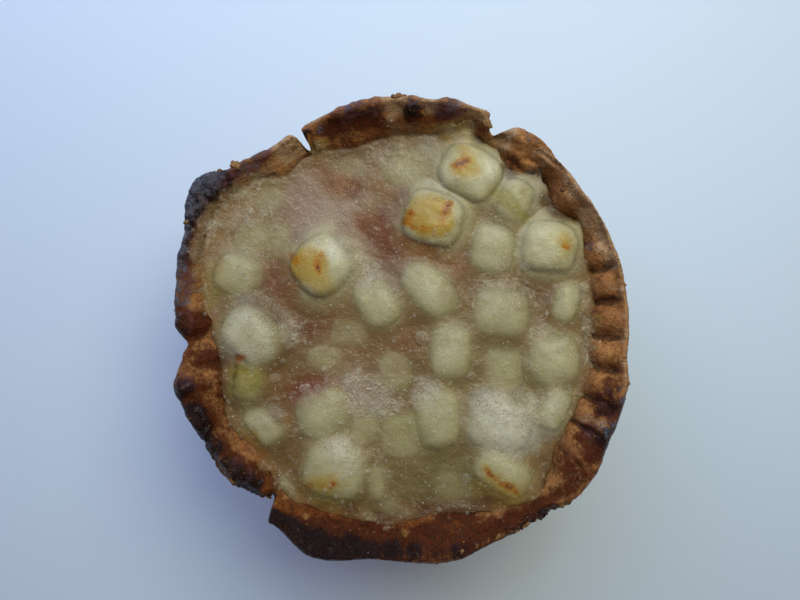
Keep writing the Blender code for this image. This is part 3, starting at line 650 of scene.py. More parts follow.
def baked_pastry():
    """Hot-water crust pastry, hand-raised and baked hard: matt, mealy and brown, chestnut
    where juice ran over it, black and blistered where it caught, with a dusty blue-grey
    bloom and painted sheen on the burnt corner, a lilac painted sheen on the blisters and a
    dull shine where fat soaked it. Painted shade darkens its hollows and cuts, and painted
    light lifts rim parts that lie in shade."""
    material, tree, shader, where = new_material("baked_pastry")
    # Marks, laid from the first to the last: how far the meal breaks up their edges, from
    # and to which strength they come in, how strongly they cover, and two colours
    layers = {
        # pale dough, partly painted light
        "pale": (0.6, 0.2, 0.9, 0.92, "#94704f", "#c8a882"),
        "chestnut": (0.5, 0.25, 0.85, 0.94, "#1c0703", "#5b2104"),
        "ember": (0.6, 0.25, 0.95, 0.8, "#5f2b10", "#8f5422"),
        "golden": (0.4, 0.25, 0.9, 0.92, "#84612e", "#b99a58"),
        # painted shade in the hollows and cuts
        "hollow": (0.3, 0.3, 1.0, 0.7, "#1d0f09", "#2e1a10"),
        "burnt": (0.8, 0.35, 0.85, 1.0, "#050303", "#2c1818"),
        # scorched jelly, and on the blisters a painted sheen
        "plum": (0.7, 0.2, 0.95, 0.75, "#3a2024", "#7e5456"),
        "sticky": (1.0, 0.35, 1.1, 0.75, "#512e1a", "#aa8c63"),
        "flaky": (0.8, 0.3, 0.9, 0.9, "#4e331c", "#92703f"),
        # ash bloom, partly painted sheen
        "ashen": (1.0, 0.3, 1.05, 0.8, "#3b3c48", "#6d6f7e"),
    }
    mark = {name: add(tree, "ShaderNodeAttribute", {"attribute_name": name}).outputs["Fac"]
            for name in ("rim", *layers)}
    broad = grain(tree, where, 5.0 * MM, 4.0)
    mealy = grain(tree, where, 1.1 * MM, 5.0, 0.65)
    speck = grain(tree, where, 0.35 * MM, 3.0, 0.7)
    patchy = grain(tree, where, 2.4 * MM, 2.0)
    cracked = creases(tree, where, (5.0 * MM, 0.014), (2.2 * MM, 0.024))
    for share in (patchy, mark["rim"]):
        cracked = add(tree, "ShaderNodeMath", {"operation": "MULTIPLY"}, {0: cracked, 1: share})
    wall = laid(tree, "#8d5c32", "#b07c48", broad)
    rim = laid(tree, "#925a32", "#c68c50", broad)
    colour = laid(tree, wall, rim, mark["rim"])
    colour = laid(tree, colour, "#3a2318", mealy, 0.45)
    colour = laid(tree, colour, "#a58560", edged(tree, speck, mealy, 0.0, 0.6, 0.8), 0.45)
    for name, (broken, start, end, strength, dark, light) in layers.items():
        share = edged(tree, mark[name], mealy, broken, start, end)
        colour = laid(tree, colour, laid(tree, dark, light, mealy), share, strength)
    colour = laid(tree, colour, "#26120a", cracked, 0.6)
    matt = add(tree, "ShaderNodeMapRange", None, {"Value": mealy, "To Min": 0.4, "To Max": 0.7})
    glazed = add(tree, "ShaderNodeMath", None, {0: mark["chestnut"], 1: mark["burnt"]})
    rough = add(tree, "ShaderNodeMath", {"operation": "MULTIPLY_ADD"}, {0: glazed, 1: -0.2, 2: matt})
    relief = bump(tree, (mealy, 0.2 * MM), (speck, 0.16 * MM), (cracked, -0.12 * MM))
    connect(tree, shader, {"Base Color": colour, "Roughness": rough, "Normal": relief,
                           "Specular IOR Level": 0.14})
    return material


# ---------------------------------------------------------------- dice of apple

# Marks on the dice: pixels across and down, reach in pixels, and strength. Spots that
# the oven toasted, yellowed flesh, frosty cut flesh with painted sheen on wet tops, and
# flesh left green by the skin
TOASTED = (
    (456, 165, 2.5, 1.0), (460, 163, 2.8, 1.0), (464, 162, 2.8, 1.0), (468, 160, 2.5, 1.0),
    (461, 164, 6, 0.5), (448, 207, 3.5, 1.0), (450, 203, 3, 0.8), (445, 212, 4, 0.9), (442, 220, 4, 0.5),
    (411, 213, 3.5, 0.9), (408, 221, 4, 0.6), (414, 227, 4, 0.5), (424, 229, 4, 0.5), (434, 228, 4, 0.4),
    (403, 222, 3, 0.5), (318, 268, 2.8, 1.0), (319, 272, 2.2, 0.9), (317, 263, 4, 0.6),
    (321, 255, 4, 0.4), (293, 257, 4, 0.6), (296, 262, 3.5, 0.5), (289, 256, 3, 0.4), (304, 256, 4, 0.3),
    (567, 247, 2.5, 0.8), (563, 246, 2, 0.5), (567, 257, 2, 0.3), (333, 484, 2.5, 1.0),
    (331, 487, 2, 0.8), (309, 486, 3.5, 0.6), (322, 486, 4, 0.35), (489, 473, 2.4, 1.0),
    (492, 476, 2.2, 1.0), (487, 469, 2.2, 0.7), (496, 480, 2.2, 0.7), (501, 484, 2.4, 0.9),
    (507, 486, 3.2, 1.0), (511, 488, 3.2, 1.0), (516, 492, 2.4, 0.9), (519, 496, 2, 0.6),
    (238, 358, 2.4, 1.0), (241, 357, 2.4, 0.9), (237, 363, 2, 0.7), (244, 357, 3, 0.5),
    (207, 284, 2.5, 0.5), (209, 288, 2, 0.5),
)
YELLOWED = (
    (462, 148, 7, 0.7), (468, 157, 8, 0.7), (455, 168, 7, 0.6), (470, 168, 9, 0.7), (478, 172, 6, 0.4),
    (430, 205, 12, 0.9), (418, 208, 10, 0.9), (442, 208, 10, 0.9), (425, 218, 12, 1.0),
    (408, 218, 8, 1.0), (440, 222, 9, 0.8), (425, 228, 10, 0.9), (312, 254, 9, 0.8), (298, 257, 9, 0.9),
    (308, 268, 13, 0.7), (320, 262, 8, 0.9), (320, 278, 12, 0.6), (300, 275, 11, 0.6),
    (325, 292, 12, 0.5), (290, 268, 8, 0.6), (563, 238, 8, 0.7), (568, 245, 6, 0.7), (562, 256, 8, 0.4),
    (332, 480, 8, 0.8), (316, 484, 9, 0.8), (305, 486, 7, 0.8), (322, 492, 12, 0.7), (345, 484, 6, 0.4),
    (485, 468, 6, 0.7), (495, 480, 8, 0.8), (508, 490, 9, 0.8), (500, 492, 9, 0.6), (485, 485, 9, 0.5),
    (522, 490, 8, 0.5), (250, 437, 8, 1.0), (507, 198, 7, 0.4), (212, 268, 10, 0.7), (205, 285, 8, 0.7),
    (208, 300, 8, 0.6), (225, 262, 8, 0.4), (230, 285, 10, 0.35), (242, 365, 8, 0.7), (245, 378, 9, 0.5),
    (520, 305, 8, 0.3), (235, 345, 8, 0.3), (260, 372, 8, 0.4), (447, 222, 8, 1.0), (462, 168, 9, 0.8),
    (440, 230, 8, 0.8), (228, 345, 9, 0.3),
)
# Frosty cut flesh, and painted sheen where wet tops catch the light
FROST_AND_SHEEN = (
    (505, 422, 20, 0.9), (488, 410, 12, 0.6), (525, 435, 12, 0.8), (515, 450, 8, 0.5),
    (437, 408, 10, 0.35), (430, 395, 8, 0.3), (335, 245, 9, 0.8), (342, 256, 8, 0.6), (330, 262, 6, 0.3),
    (345, 270, 6, 0.4), (490, 160, 8, 0.6), (494, 172, 8, 0.6), (482, 182, 7, 0.4), (440, 188, 6, 0.6),
    (455, 198, 6, 0.5), (460, 210, 5, 0.4), (428, 186, 6, 0.5), (540, 238, 9, 0.3), (548, 258, 9, 0.3),
    (534, 172, 8, 0.9), (428, 142, 10, 0.5), (550, 430, 8, 0.6), (575, 262, 5, 0.3), (238, 322, 8, 0.6),
    (250, 318, 8, 0.7), (262, 332, 9, 0.6), (268, 348, 7, 0.5), (232, 335, 6, 0.5), (422, 285, 8, 0.4),
    (432, 296, 8, 0.35), (385, 295, 7, 0.3), (340, 455, 9, 0.5), (352, 466, 8, 0.4), (325, 455, 7, 0.3),
    (555, 405, 7, 0.5), (548, 415, 6, 0.4), (500, 305, 9, 0.3), (455, 340, 9, 0.35), (447, 355, 9, 0.3),
    (495, 235, 10, 0.35), (522, 177, 7, 0.5), (538, 182, 7, 0.8), (537, 195, 5, 0.5), (537, 208, 5, 0.5),
    (508, 178, 6, 0.4), (322, 405, 8, 0.3), (262, 420, 5, 0.3), (575, 292, 6, 0.3),
)
GREENISH = (
    (505, 197, 7, 0.8), (523, 193, 4, 0.9), (512, 203, 6, 0.9), (518, 212, 5, 0.8), (528, 220, 4, 0.6),
    (496, 195, 6, 0.5), (240, 375, 9, 1.0), (237, 388, 8, 1.0), (248, 374, 9, 1.0), (246, 388, 9, 0.9),
    (256, 378, 8, 0.5), (458, 190, 8, 0.3), (330, 500, 12, 0.4), (400, 425, 14, 0.3), (425, 425, 10, 0.3),
    (212, 290, 9, 0.4),
)
# Dice wholly sunk in the jelly: middle across and down in the photograph, length, width
# and depth in mm, turn in degrees, how far the top lies under the surface in mm, and the
# dice whose form it repeats
SUNK_DICE = (
    (401, 433, 8.4, 9.6, 7.0, 10, 0.7, "apple_06"), (501, 369, 8.0, 8.6, 7.0, 5, 0.8, "apple_08"),
    (395, 373, 6.0, 8.6, 6.0, 0, 1.2, "apple_10"), (325, 357, 7.7, 5.7, 5.0, 25, 1.6, "apple_09"),
    (453, 488, 8.6, 8.0, 6.0, 0, 2.1, "apple_20"), (376, 480, 3.8, 7.3, 6.0, 12, 0.9, "apple_12"),
    (406, 172, 10.6, 9.6, 7.0, 12, 0.9, "apple_03"), (350, 168, 6.3, 6.7, 6.0, 30, 2.2, "apple_11"),
    (271, 199, 6.7, 6.7, 5.0, 20, 1.9, "apple_15"), (254, 240, 6.7, 7.7, 5.0, 10, 1.3, "apple_16"),
    (281, 245, 4.2, 7.7, 5.0, -15, 1.6, "apple_12"), (350, 333, 8.0, 7.3, 5.0, 40, 1.8, "apple_07"),
    (366, 424, 5.7, 7.7, 6.0, -10, 1.1, "apple_19"), (287, 486, 4.2, 5.4, 5.0, 0, 0.8, "apple_18"),
    (398, 507, 7.7, 4.6, 5.0, 0, 1.6, "apple_22"),
)
DICE_LEVELS = 3
SWELL = 0.35  # mm, that rounding by subdivision takes off


def finely_rounded(solid, name):
    """A dice with quads for its triangles, rounded by subdivision."""
    bmesh.ops.join_triangles(solid, faces=solid.faces, angle_face_threshold=math.radians(60),
                             angle_shape_threshold=math.radians(60))
    coarse = bpy.data.meshes.new("coarse")
    solid.to_mesh(coarse)
    solid.free()
    block = bpy.data.objects.new("coarse", coarse)
    bpy.context.scene.collection.objects.link(block)
    rounded = block.modifiers.new("rounded", "SUBSURF")
    rounded.levels = rounded.render_levels = DICE_LEVELS
    seen = block.evaluated_get(bpy.context.evaluated_depsgraph_get())
    fine = bpy.data.meshes.new_from_object(seen)
    bpy.data.objects.remove(block)
    bpy.data.meshes.remove(coarse)
    fine.name = name
    fine.shade_smooth()
    return fine


def dress_dice(mesh, seed):
    """Gives a dice its cut, cooked surface and the marks that show on it."""
    points = corners(mesh)
    rise = SWELL + 0.28 * fractal(points, 4.0 * MM, 2, seed) + 0.05 * fractal(points, 0.8 * MM, 2, seed)
    points = points + corner_normals(mesh) * (rise * MM)[:, None]
    set_corners(mesh, points)
    pixels = photo_pixels(points)
    shown = ease((points[:, 2] - LEVEL + 1.0 * MM) / (2.5 * MM))
    write_attribute(mesh, "toast", marked(pixels, TOASTED) * ease(shown * 2.0))
    write_attribute(mesh, "yellow", marked(pixels, YELLOWED) * ease(shown * 2.0))
    write_attribute(mesh, "green", marked(pixels, GREENISH))
    # frost on cut flesh, with painted sheen on wet tops
    write_attribute(mesh, "frost", marked(pixels, FROST_AND_SHEEN) * shown)
    write_attribute(mesh, "bare", shown)


def make_dice(material):
    """The dice of apple that show, each rounded and cooked over its own solid."""
    made = []
    for number, node in enumerate(DICE):
        mesh = finely_rounded(merged_copy(node), node + "_cooked")
        dress_dice(mesh, 10.0 + number)
        made.append(place(mesh.name, mesh, material, [node]))
    return made


def make_sunk_dice(material):
    """The dice of apple that lie wholly under the jelly's surface."""
    made = []
    for number, row in enumerate(SUNK_DICE, 1):
        across, down, length, width, depth, turn, under, like = row
        solid = merged_copy(like)
        low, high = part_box(like)
        sizes = Vector((length, width, depth)) * MM
        middle = photo_place(across, down, LEVEL - under * MM - sizes.z / 2)
        for corner in solid.verts:
            share = Vector([(c - l) / (h - l) - 0.5 for c, l, h in zip(corner.co, low, high)])
            corner.co = middle + turned(*(part * size for part, size in zip(share, sizes)), turn)
        mesh = finely_rounded(solid, f"sunk_apple_{number:02d}")
        dress_dice(mesh, 60.0 + number)
        made.append(place(mesh.name, mesh, material))
    return made


def cooked_apple():
    """Cooking apple, diced and baked until soft: cream and faintly see-through, with a
    frosty grain where the flesh was cut and a pale painted sheen on some wet tops, yellow
    and then brown where the oven caught it."""
    material, tree, shader, where = new_material("cooked_apple")
    mark = {name: add(tree, "ShaderNodeAttribute", {"attribute_name": name}).outputs["Fac"]
            for name in ("bare", "frost", "green", "yellow", "toast")}
    cloudy = grain(tree, where, 3.5 * MM, 3.0)
    frosty = grain(tree, where, 0.5 * MM, 4.0, 0.7)
    upright = add(tree, "ShaderNodeMapping", None, {"Vector": where, "Scale": (1.0, 1.0, 0.35)})
    fibre = grain(tree, upright, 0.28 * MM, 2.0)
    sunk = laid(tree, "#979064", "#aea97f", cloudy)
    lifted = laid(tree, "#a09768", "#b4af8a", cloudy)
    browned = laid(tree, "#a06a0c", "#682a05", edged(tree, mark["toast"], frosty, 0.4, 0.7, 1.05))
    colour = laid(tree, sunk, lifted, edged(tree, mark["bare"], cloudy, 0.5, 0.1, 0.95))
    for coat, share, strength in (
        ("#cfcdbb", frosty, 0.3),
        # frosty cut flesh, partly painted sheen
        ("#c9c8b6", edged(tree, mark["frost"], frosty, 0.5, 0.1, 0.9), 0.7),
        ("#7a7034", mark["green"], 0.8),
        ("#a28426", edged(tree, mark["yellow"], frosty, 0.5, 0.2, 1.0), 0.9),
        (browned, edged(tree, mark["toast"], frosty, 0.5, 0.1, 0.6), 1.0),
    ):
        colour = laid(tree, colour, coat, share, strength)
    rough = add(tree, "ShaderNodeMapRange", None, {"Value": frosty, "To Min": 0.25, "To Max": 0.5})
    connect(tree, shader, {
        "Base Color": colour, "Roughness": rough,
        "Normal": bump(tree, (fibre, 0.05 * MM), (frosty, 0.03 * MM)),
        "Subsurface Weight": 0.45, "Subsurface Radius": (1.0, 0.8, 0.45),
        "Subsurface Scale": 0.9 * MM, "Specular IOR Level": 0.3,
        "Coat Weight": 0.35, "Coat Roughness": 0.15, "Coat IOR": 1.35,
    })
    return material


# ---------------------------------------------------------------- pork

# Scraps of pork close under the jelly's surface: pixels across and down, width in mm,
# and how far the top lies under the surface in mm
PORK_SCRAPS = (
    (383, 233, 5.6, 0.5), (372, 222, 4.0, 0.9), (395, 244, 4.6, 0.8), (352, 188, 3.6, 0.8),
    (278, 285, 5.2, 1.1), (272, 268, 4.0, 1.5), (320, 335, 5.8, 1.6), (440, 262, 5.0, 1.6),
    (460, 262, 4.6, 1.9), (455, 275, 4.4, 2.2), (312, 388, 6.4, 1.5), (296, 398, 4.6, 1.9),
    (405, 345, 5.6, 1.9), (330, 395, 4.4, 1.6), (392, 262, 5.0, 1.3), (288, 300, 4.8, 1.8),
    (336, 180, 4.4, 1.6), (423, 300, 4.0, 2.4), (352, 230, 5.0, 2.4), (300, 318, 5.0, 2.4),
    (468, 330, 4.6, 2.6), (540, 290, 5.0, 2.6), (360, 300, 5.0, 3.0), (425, 385, 5.0, 3.0),
)
PORK_RINGS = 24
PORK_AROUND = 120


def outline_of(node, height, middle):
    """A CAD node's outermost radii near a height, and by what part of a column they are
    turned from the X axis."""
    solid = merged_copy(node)
    points = np.array([corner.co for corner in solid.verts if abs(corner.co.z - height) < 0.1 * MM])
    solid.free()
    turn, radius = polar(points, middle)
    turn = turn / math.tau * SOLID_COLUMNS
    shift = turn[radius.argmax()] % 1.0
    radii = np.zeros(SOLID_COLUMNS)
    np.maximum.at(radii, np.round(turn - shift).astype(int) % SOLID_COLUMNS, radius)
    return radii, shift


def ring_at(outline, around, height, middle, share=1.0):
    """A ring of places along an outline, at a height, and drawn in to a share of it."""
    radii, shift = outline
    where = np.arange(around) / around * len(radii) - shift
    radius = spline(radii, where, closed=True) * share
    turn = np.arange(around) / around * math.tau
    return np.stack([middle.x + radius * np.cos(turn), middle.y + radius * np.sin(turn),
                     np.full(around, height)], axis=1)


def pie_middle():
    """The middle of the crust's round base."""
    base = [corner for corner in corners(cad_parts["crust"].data) if corner[2] < MERGE]
    unique = np.unique(np.round(np.array(base) / MERGE), axis=0) * MERGE
    return Vector(unique.mean(axis=0))


def make_pork(material):
    """The bed of coarse pork, with lumps on its top."""
    middle = pie_middle()
    top = outline_of("pork_filling", PORK_TOP, middle)
    foot = outline_of("pork_filling", PORK_FOOT, middle)
    rings = [ring_at(foot, PORK_AROUND, PORK_FOOT, middle)]
    rings += [ring_at(top, PORK_AROUND, PORK_TOP, middle, 1.0 - step / PORK_RINGS)
              for step in range(PORK_RINGS)]
    mesh = ring_solid("coarse_pork", np.array(rings))
    points = corners(mesh)
    on_top = points[:, 2] > PORK_TOP - MERGE
    lumps = 0.9 * cells(points, 6.0 * MM, 2.0) + 0.4 * fractal(points, 2.5 * MM, 3) - 0.7
    points[:, 2] += lumps * on_top * MM
    set_corners(mesh, points)
    return place("coarse_pork", mesh, material, ["pork_filling"])


def make_pork_scraps(material):
    """Scraps of pork that drifted up into the jelly, flattish and ragged."""
    draw = np.random.default_rng(5)
    scraps = bmesh.new()
    for across, down, width, under in PORK_SCRAPS:
        flat = draw.uniform(0.35, 0.55)
        seed = Vector(draw.uniform(-50.0, 50.0, 3))
        middle = photo_place(across, down, LEVEL - (under + width * flat / 2) * MM)
        for corner in bmesh.ops.create_icosphere(scraps, subdivisions=4, radius=1.0)["verts"]:
            swell = 1.0 + 0.35 * noise.fractal(corner.co * 1.1 + seed, 1.0, 2.0, 4)
            shape = Vector((corner.co.x, corner.co.y, corner.co.z * flat))
            corner.co = middle + shape * (swell * width / 2 * MM)
    return place_shapes("pork_scraps", scraps, material)


def cooked_pork():
    """Coarsely cut pork, cooked: pinkish brown and moist, with pale fat between darker
    fibres, and red-brown where it was seared."""
    material, tree, shader, where = new_material("cooked_pork")
    broad = grain(tree, where, 3.0 * MM, 3.0)
    fibres = grain(tree, where, 0.6 * MM, 4.0, 0.65)
    fat = edged(tree, grain(tree, where, 2.0 * MM, 2.0), fibres, 0.4, 0.75, 0.95)
    colour = laid(tree, "#70402c", "#8a5a40", broad)
    colour = laid(tree, colour, "#4c2416", fibres, 0.5)
    colour = laid(tree, colour, "#a9977e", fat)
    connect(tree, shader, {"Base Color": colour, "Normal": bump(tree, (fibres, 0.15 * MM)),
                           "Roughness": 0.4, "IOR": 1.42})
    return material


# ---------------------------------------------------------------- jelly

# A square map of the pie, on which heights are widened and blurred
MAP_PITCH = 0.4 * MM
MAP_HALF = 42.0 * MM
MAP_AXIS = np.arange(-MAP_HALF, MAP_HALF + MAP_PITCH / 2, MAP_PITCH)
MAP_SHAPE = (len(MAP_AXIS), len(MAP_AXIS))
MAP_PLACES = np.stack(np.meshgrid(MAP_AXIS, MAP_AXIS, indexing="ij"), axis=-1).reshape(-1, 2)
RAY_START = LEVEL + 20.0 * MM

JELLY_RINGS = 112
JELLY_AROUND = 540
EDGE_GRIP = 0.9 * MM  # how far the jelly's edge reaches into the crust
WANDER = 0.5 * MM  # and how unevenly
GRIP_RINGS = 16.0  # over which that fades inwards
SIDE_INWARDS, SIDE_DOWN = 1.2 * MM, 4.6 * MM  # the side's ring, from the edge
CLIMB, CLIMB_WIDTH = 0.35 * MM, 0.8 * MM  # how it creeps up the crust
FILM = 0.22 * MM  # over the dice that it just covers
FILM_SPREAD, FILM_BLUR = 1.6 * MM, 1.2 * MM  # how softly it lies over them
BARE_DICE = ("apple_01", "apple_02", "apple_03", "apple_04")  # those that stand proud
SKIRT, BARE_BLUR = 1.6 * MM, 0.35 * MM  # how it slopes up to them
BARE_SHARE = 1.18  # of their height, which the blur takes off again
# Where froth heaps up under the torn flap, and where the jelly draws up to no dice
HEAPED = ((458, 127, 9, 1.0), (468, 132, 7, 0.9), (446, 132, 6, 0.6), (319, 144, 5, 0.5))
DRY = ((561, 206, 9, 1.0), (575, 214, 7, 1.0), (547, 200, 7, 0.8), (510, 170, 7, 0.9))
HEAP = 2.1 * MM  # how high the froth heaps up
STICKY_REACH = 3.0 * MM  # how far it has crept over the crust where it boiled over
STICKY_FILM = 0.34 * MM  # how thick it lies there

# How cloudy the jelly looks, by the depth to what lies under it, and from what depth
# the apple, its glow, its pale heart, its painted light halo and the meat show, how softly
VEIL_LEAST, VEIL_MOST, VEIL_DEPTH = 0.45, 0.95, 1.6 * MM
THIN = 0.2 * MM  # the depth at which it starts to look cloudy
DICE_DEPTH, DICE_BLUR = 1.8 * MM, 0.5 * MM
GLOW_DEPTH, GLOW_BLUR = 2.2 * MM, 1.5 * MM
HEART_DEPTH, HEART_BLUR = 1.3 * MM, 1.2 * MM
PAINTED_LIGHT_HALO_DEPTH, PAINTED_LIGHT_HALO_BLUR, PAINTED_LIGHT_HALO_RISE = 1.0 * MM, 0.9 * MM, 1.3 * MM
MEAT_DEPTH, MEAT_BLUR = 2.2 * MM, 0.7 * MM

# What tints the jelly from below, a colour with its marks: pixels across and down, reach
# in pixels, and strength. Milky rose over the fat, gold where fat set, rust over seared
# pork, amber by the crust, brown and olive in the deep gaps
TINTS = {
    "#96806e": ((335, 212, 32, 0.8), (308, 205, 26, 0.8), (355, 250, 24, 0.6), (372, 278, 20, 0.6),
                (268, 196, 14, 0.6), (345, 232, 20, 0.6), (405, 262, 14, 0.4), (345, 385, 18, 0.7),
                (365, 395, 22, 0.6), (400, 148, 22, 0.5), (360, 155, 18, 0.3), (300, 165, 14, 0.5),
                (285, 338, 14, 0.6), (260, 290, 16, 0.4), (250, 285, 12, 0.4), (395, 300, 14, 0.3)),
    "#a09a56": ((505, 197, 5, 0.8), (513, 205, 5, 0.8), (522, 214, 4, 0.6), (500, 190, 5, 0.5),
                (525, 193, 3, 0.8), (495, 200, 4, 0.4)),
    "#8c6d3c": ((222, 214, 18, 0.9), (245, 208, 16, 0.8), (210, 236, 14, 0.8), (255, 188, 10, 0.7),
                (232, 232, 20, 0.6), (316, 148, 8, 0.9), (215, 258, 12, 0.4), (205, 245, 8, 0.6)),
    "#5f2614": ((384, 232, 17, 1.0), (396, 246, 12, 0.8), (372, 226, 12, 0.7), (353, 187, 9, 0.8),
                (277, 285, 13, 0.8), (276, 270, 9, 0.6), (308, 391, 13, 1.0), (292, 398, 8, 0.6),
                (322, 384, 9, 0.7), (400, 368, 10, 0.5), (352, 176, 7, 0.6), (315, 328, 16, 0.5),
                (335, 330, 14, 0.4)),
    "#845628": ((335, 180, 14, 0.7), (318, 170, 10, 0.4), (366, 222, 10, 0.8), (380, 178, 12, 0.4),
                (440, 258, 16, 0.7), (425, 250, 14, 0.7), (455, 262, 12, 0.5), (283, 300, 12, 0.5),
                (400, 240, 12, 0.4), (285, 385, 12, 0.4), (283, 410, 14, 0.5), (392, 192, 10, 0.6),
                (290, 505, 9, 0.9), (310, 512, 9, 0.8), (335, 510, 9, 0.8), (352, 513, 9, 0.6),
                (403, 517, 9, 0.8), (418, 514, 8, 0.8), (445, 516, 9, 0.8), (265, 458, 9, 0.8),
                (272, 478, 8, 0.6), (256, 447, 6, 0.8), (205, 275, 7, 0.6), (206, 318, 8, 0.7),
                (340, 355, 12, 0.3), (495, 268, 8, 0.4)),
    "#5d4527": ((300, 315, 22, 0.6), (290, 360, 16, 0.6), (300, 440, 10, 0.6), (275, 450, 16, 0.8),
                (410, 370, 12, 0.7), (408, 385, 10, 0.7), (420, 318, 14, 0.6), (462, 322, 8, 0.7),
                (468, 290, 12, 0.4), (535, 285, 15, 0.9), (545, 300, 12, 0.7), (460, 200, 10, 0.4),
                (470, 195, 8, 0.4), (500, 342, 14, 0.7), (580, 390, 10, 0.7), (545, 465, 9, 0.9),
                (470, 512, 14, 0.9), (440, 508, 10, 0.5), (380, 420, 8, 0.5), (280, 400, 12, 0.5),
                (460, 350, 8, 0.3)),
    "#676035": ((480, 350, 22, 0.6), (520, 370, 16, 0.7), (470, 385, 16, 0.6), (535, 395, 14, 0.6),
                (445, 455, 20, 0.7), (430, 480, 26, 0.7), (460, 490, 22, 0.8), (400, 490, 24, 0.6),
                (380, 470, 18, 0.5), (350, 510, 18, 0.3), (380, 510, 16, 0.4), (480, 455, 14, 0.4),
                (520, 435, 14, 0.3), (485, 260, 10, 0.5), (545, 275, 10, 0.4), (505, 355, 14, 0.5),
                (440, 470, 20, 0.5), (250, 400, 14, 0.3), (268, 465, 10, 0.4)),
}
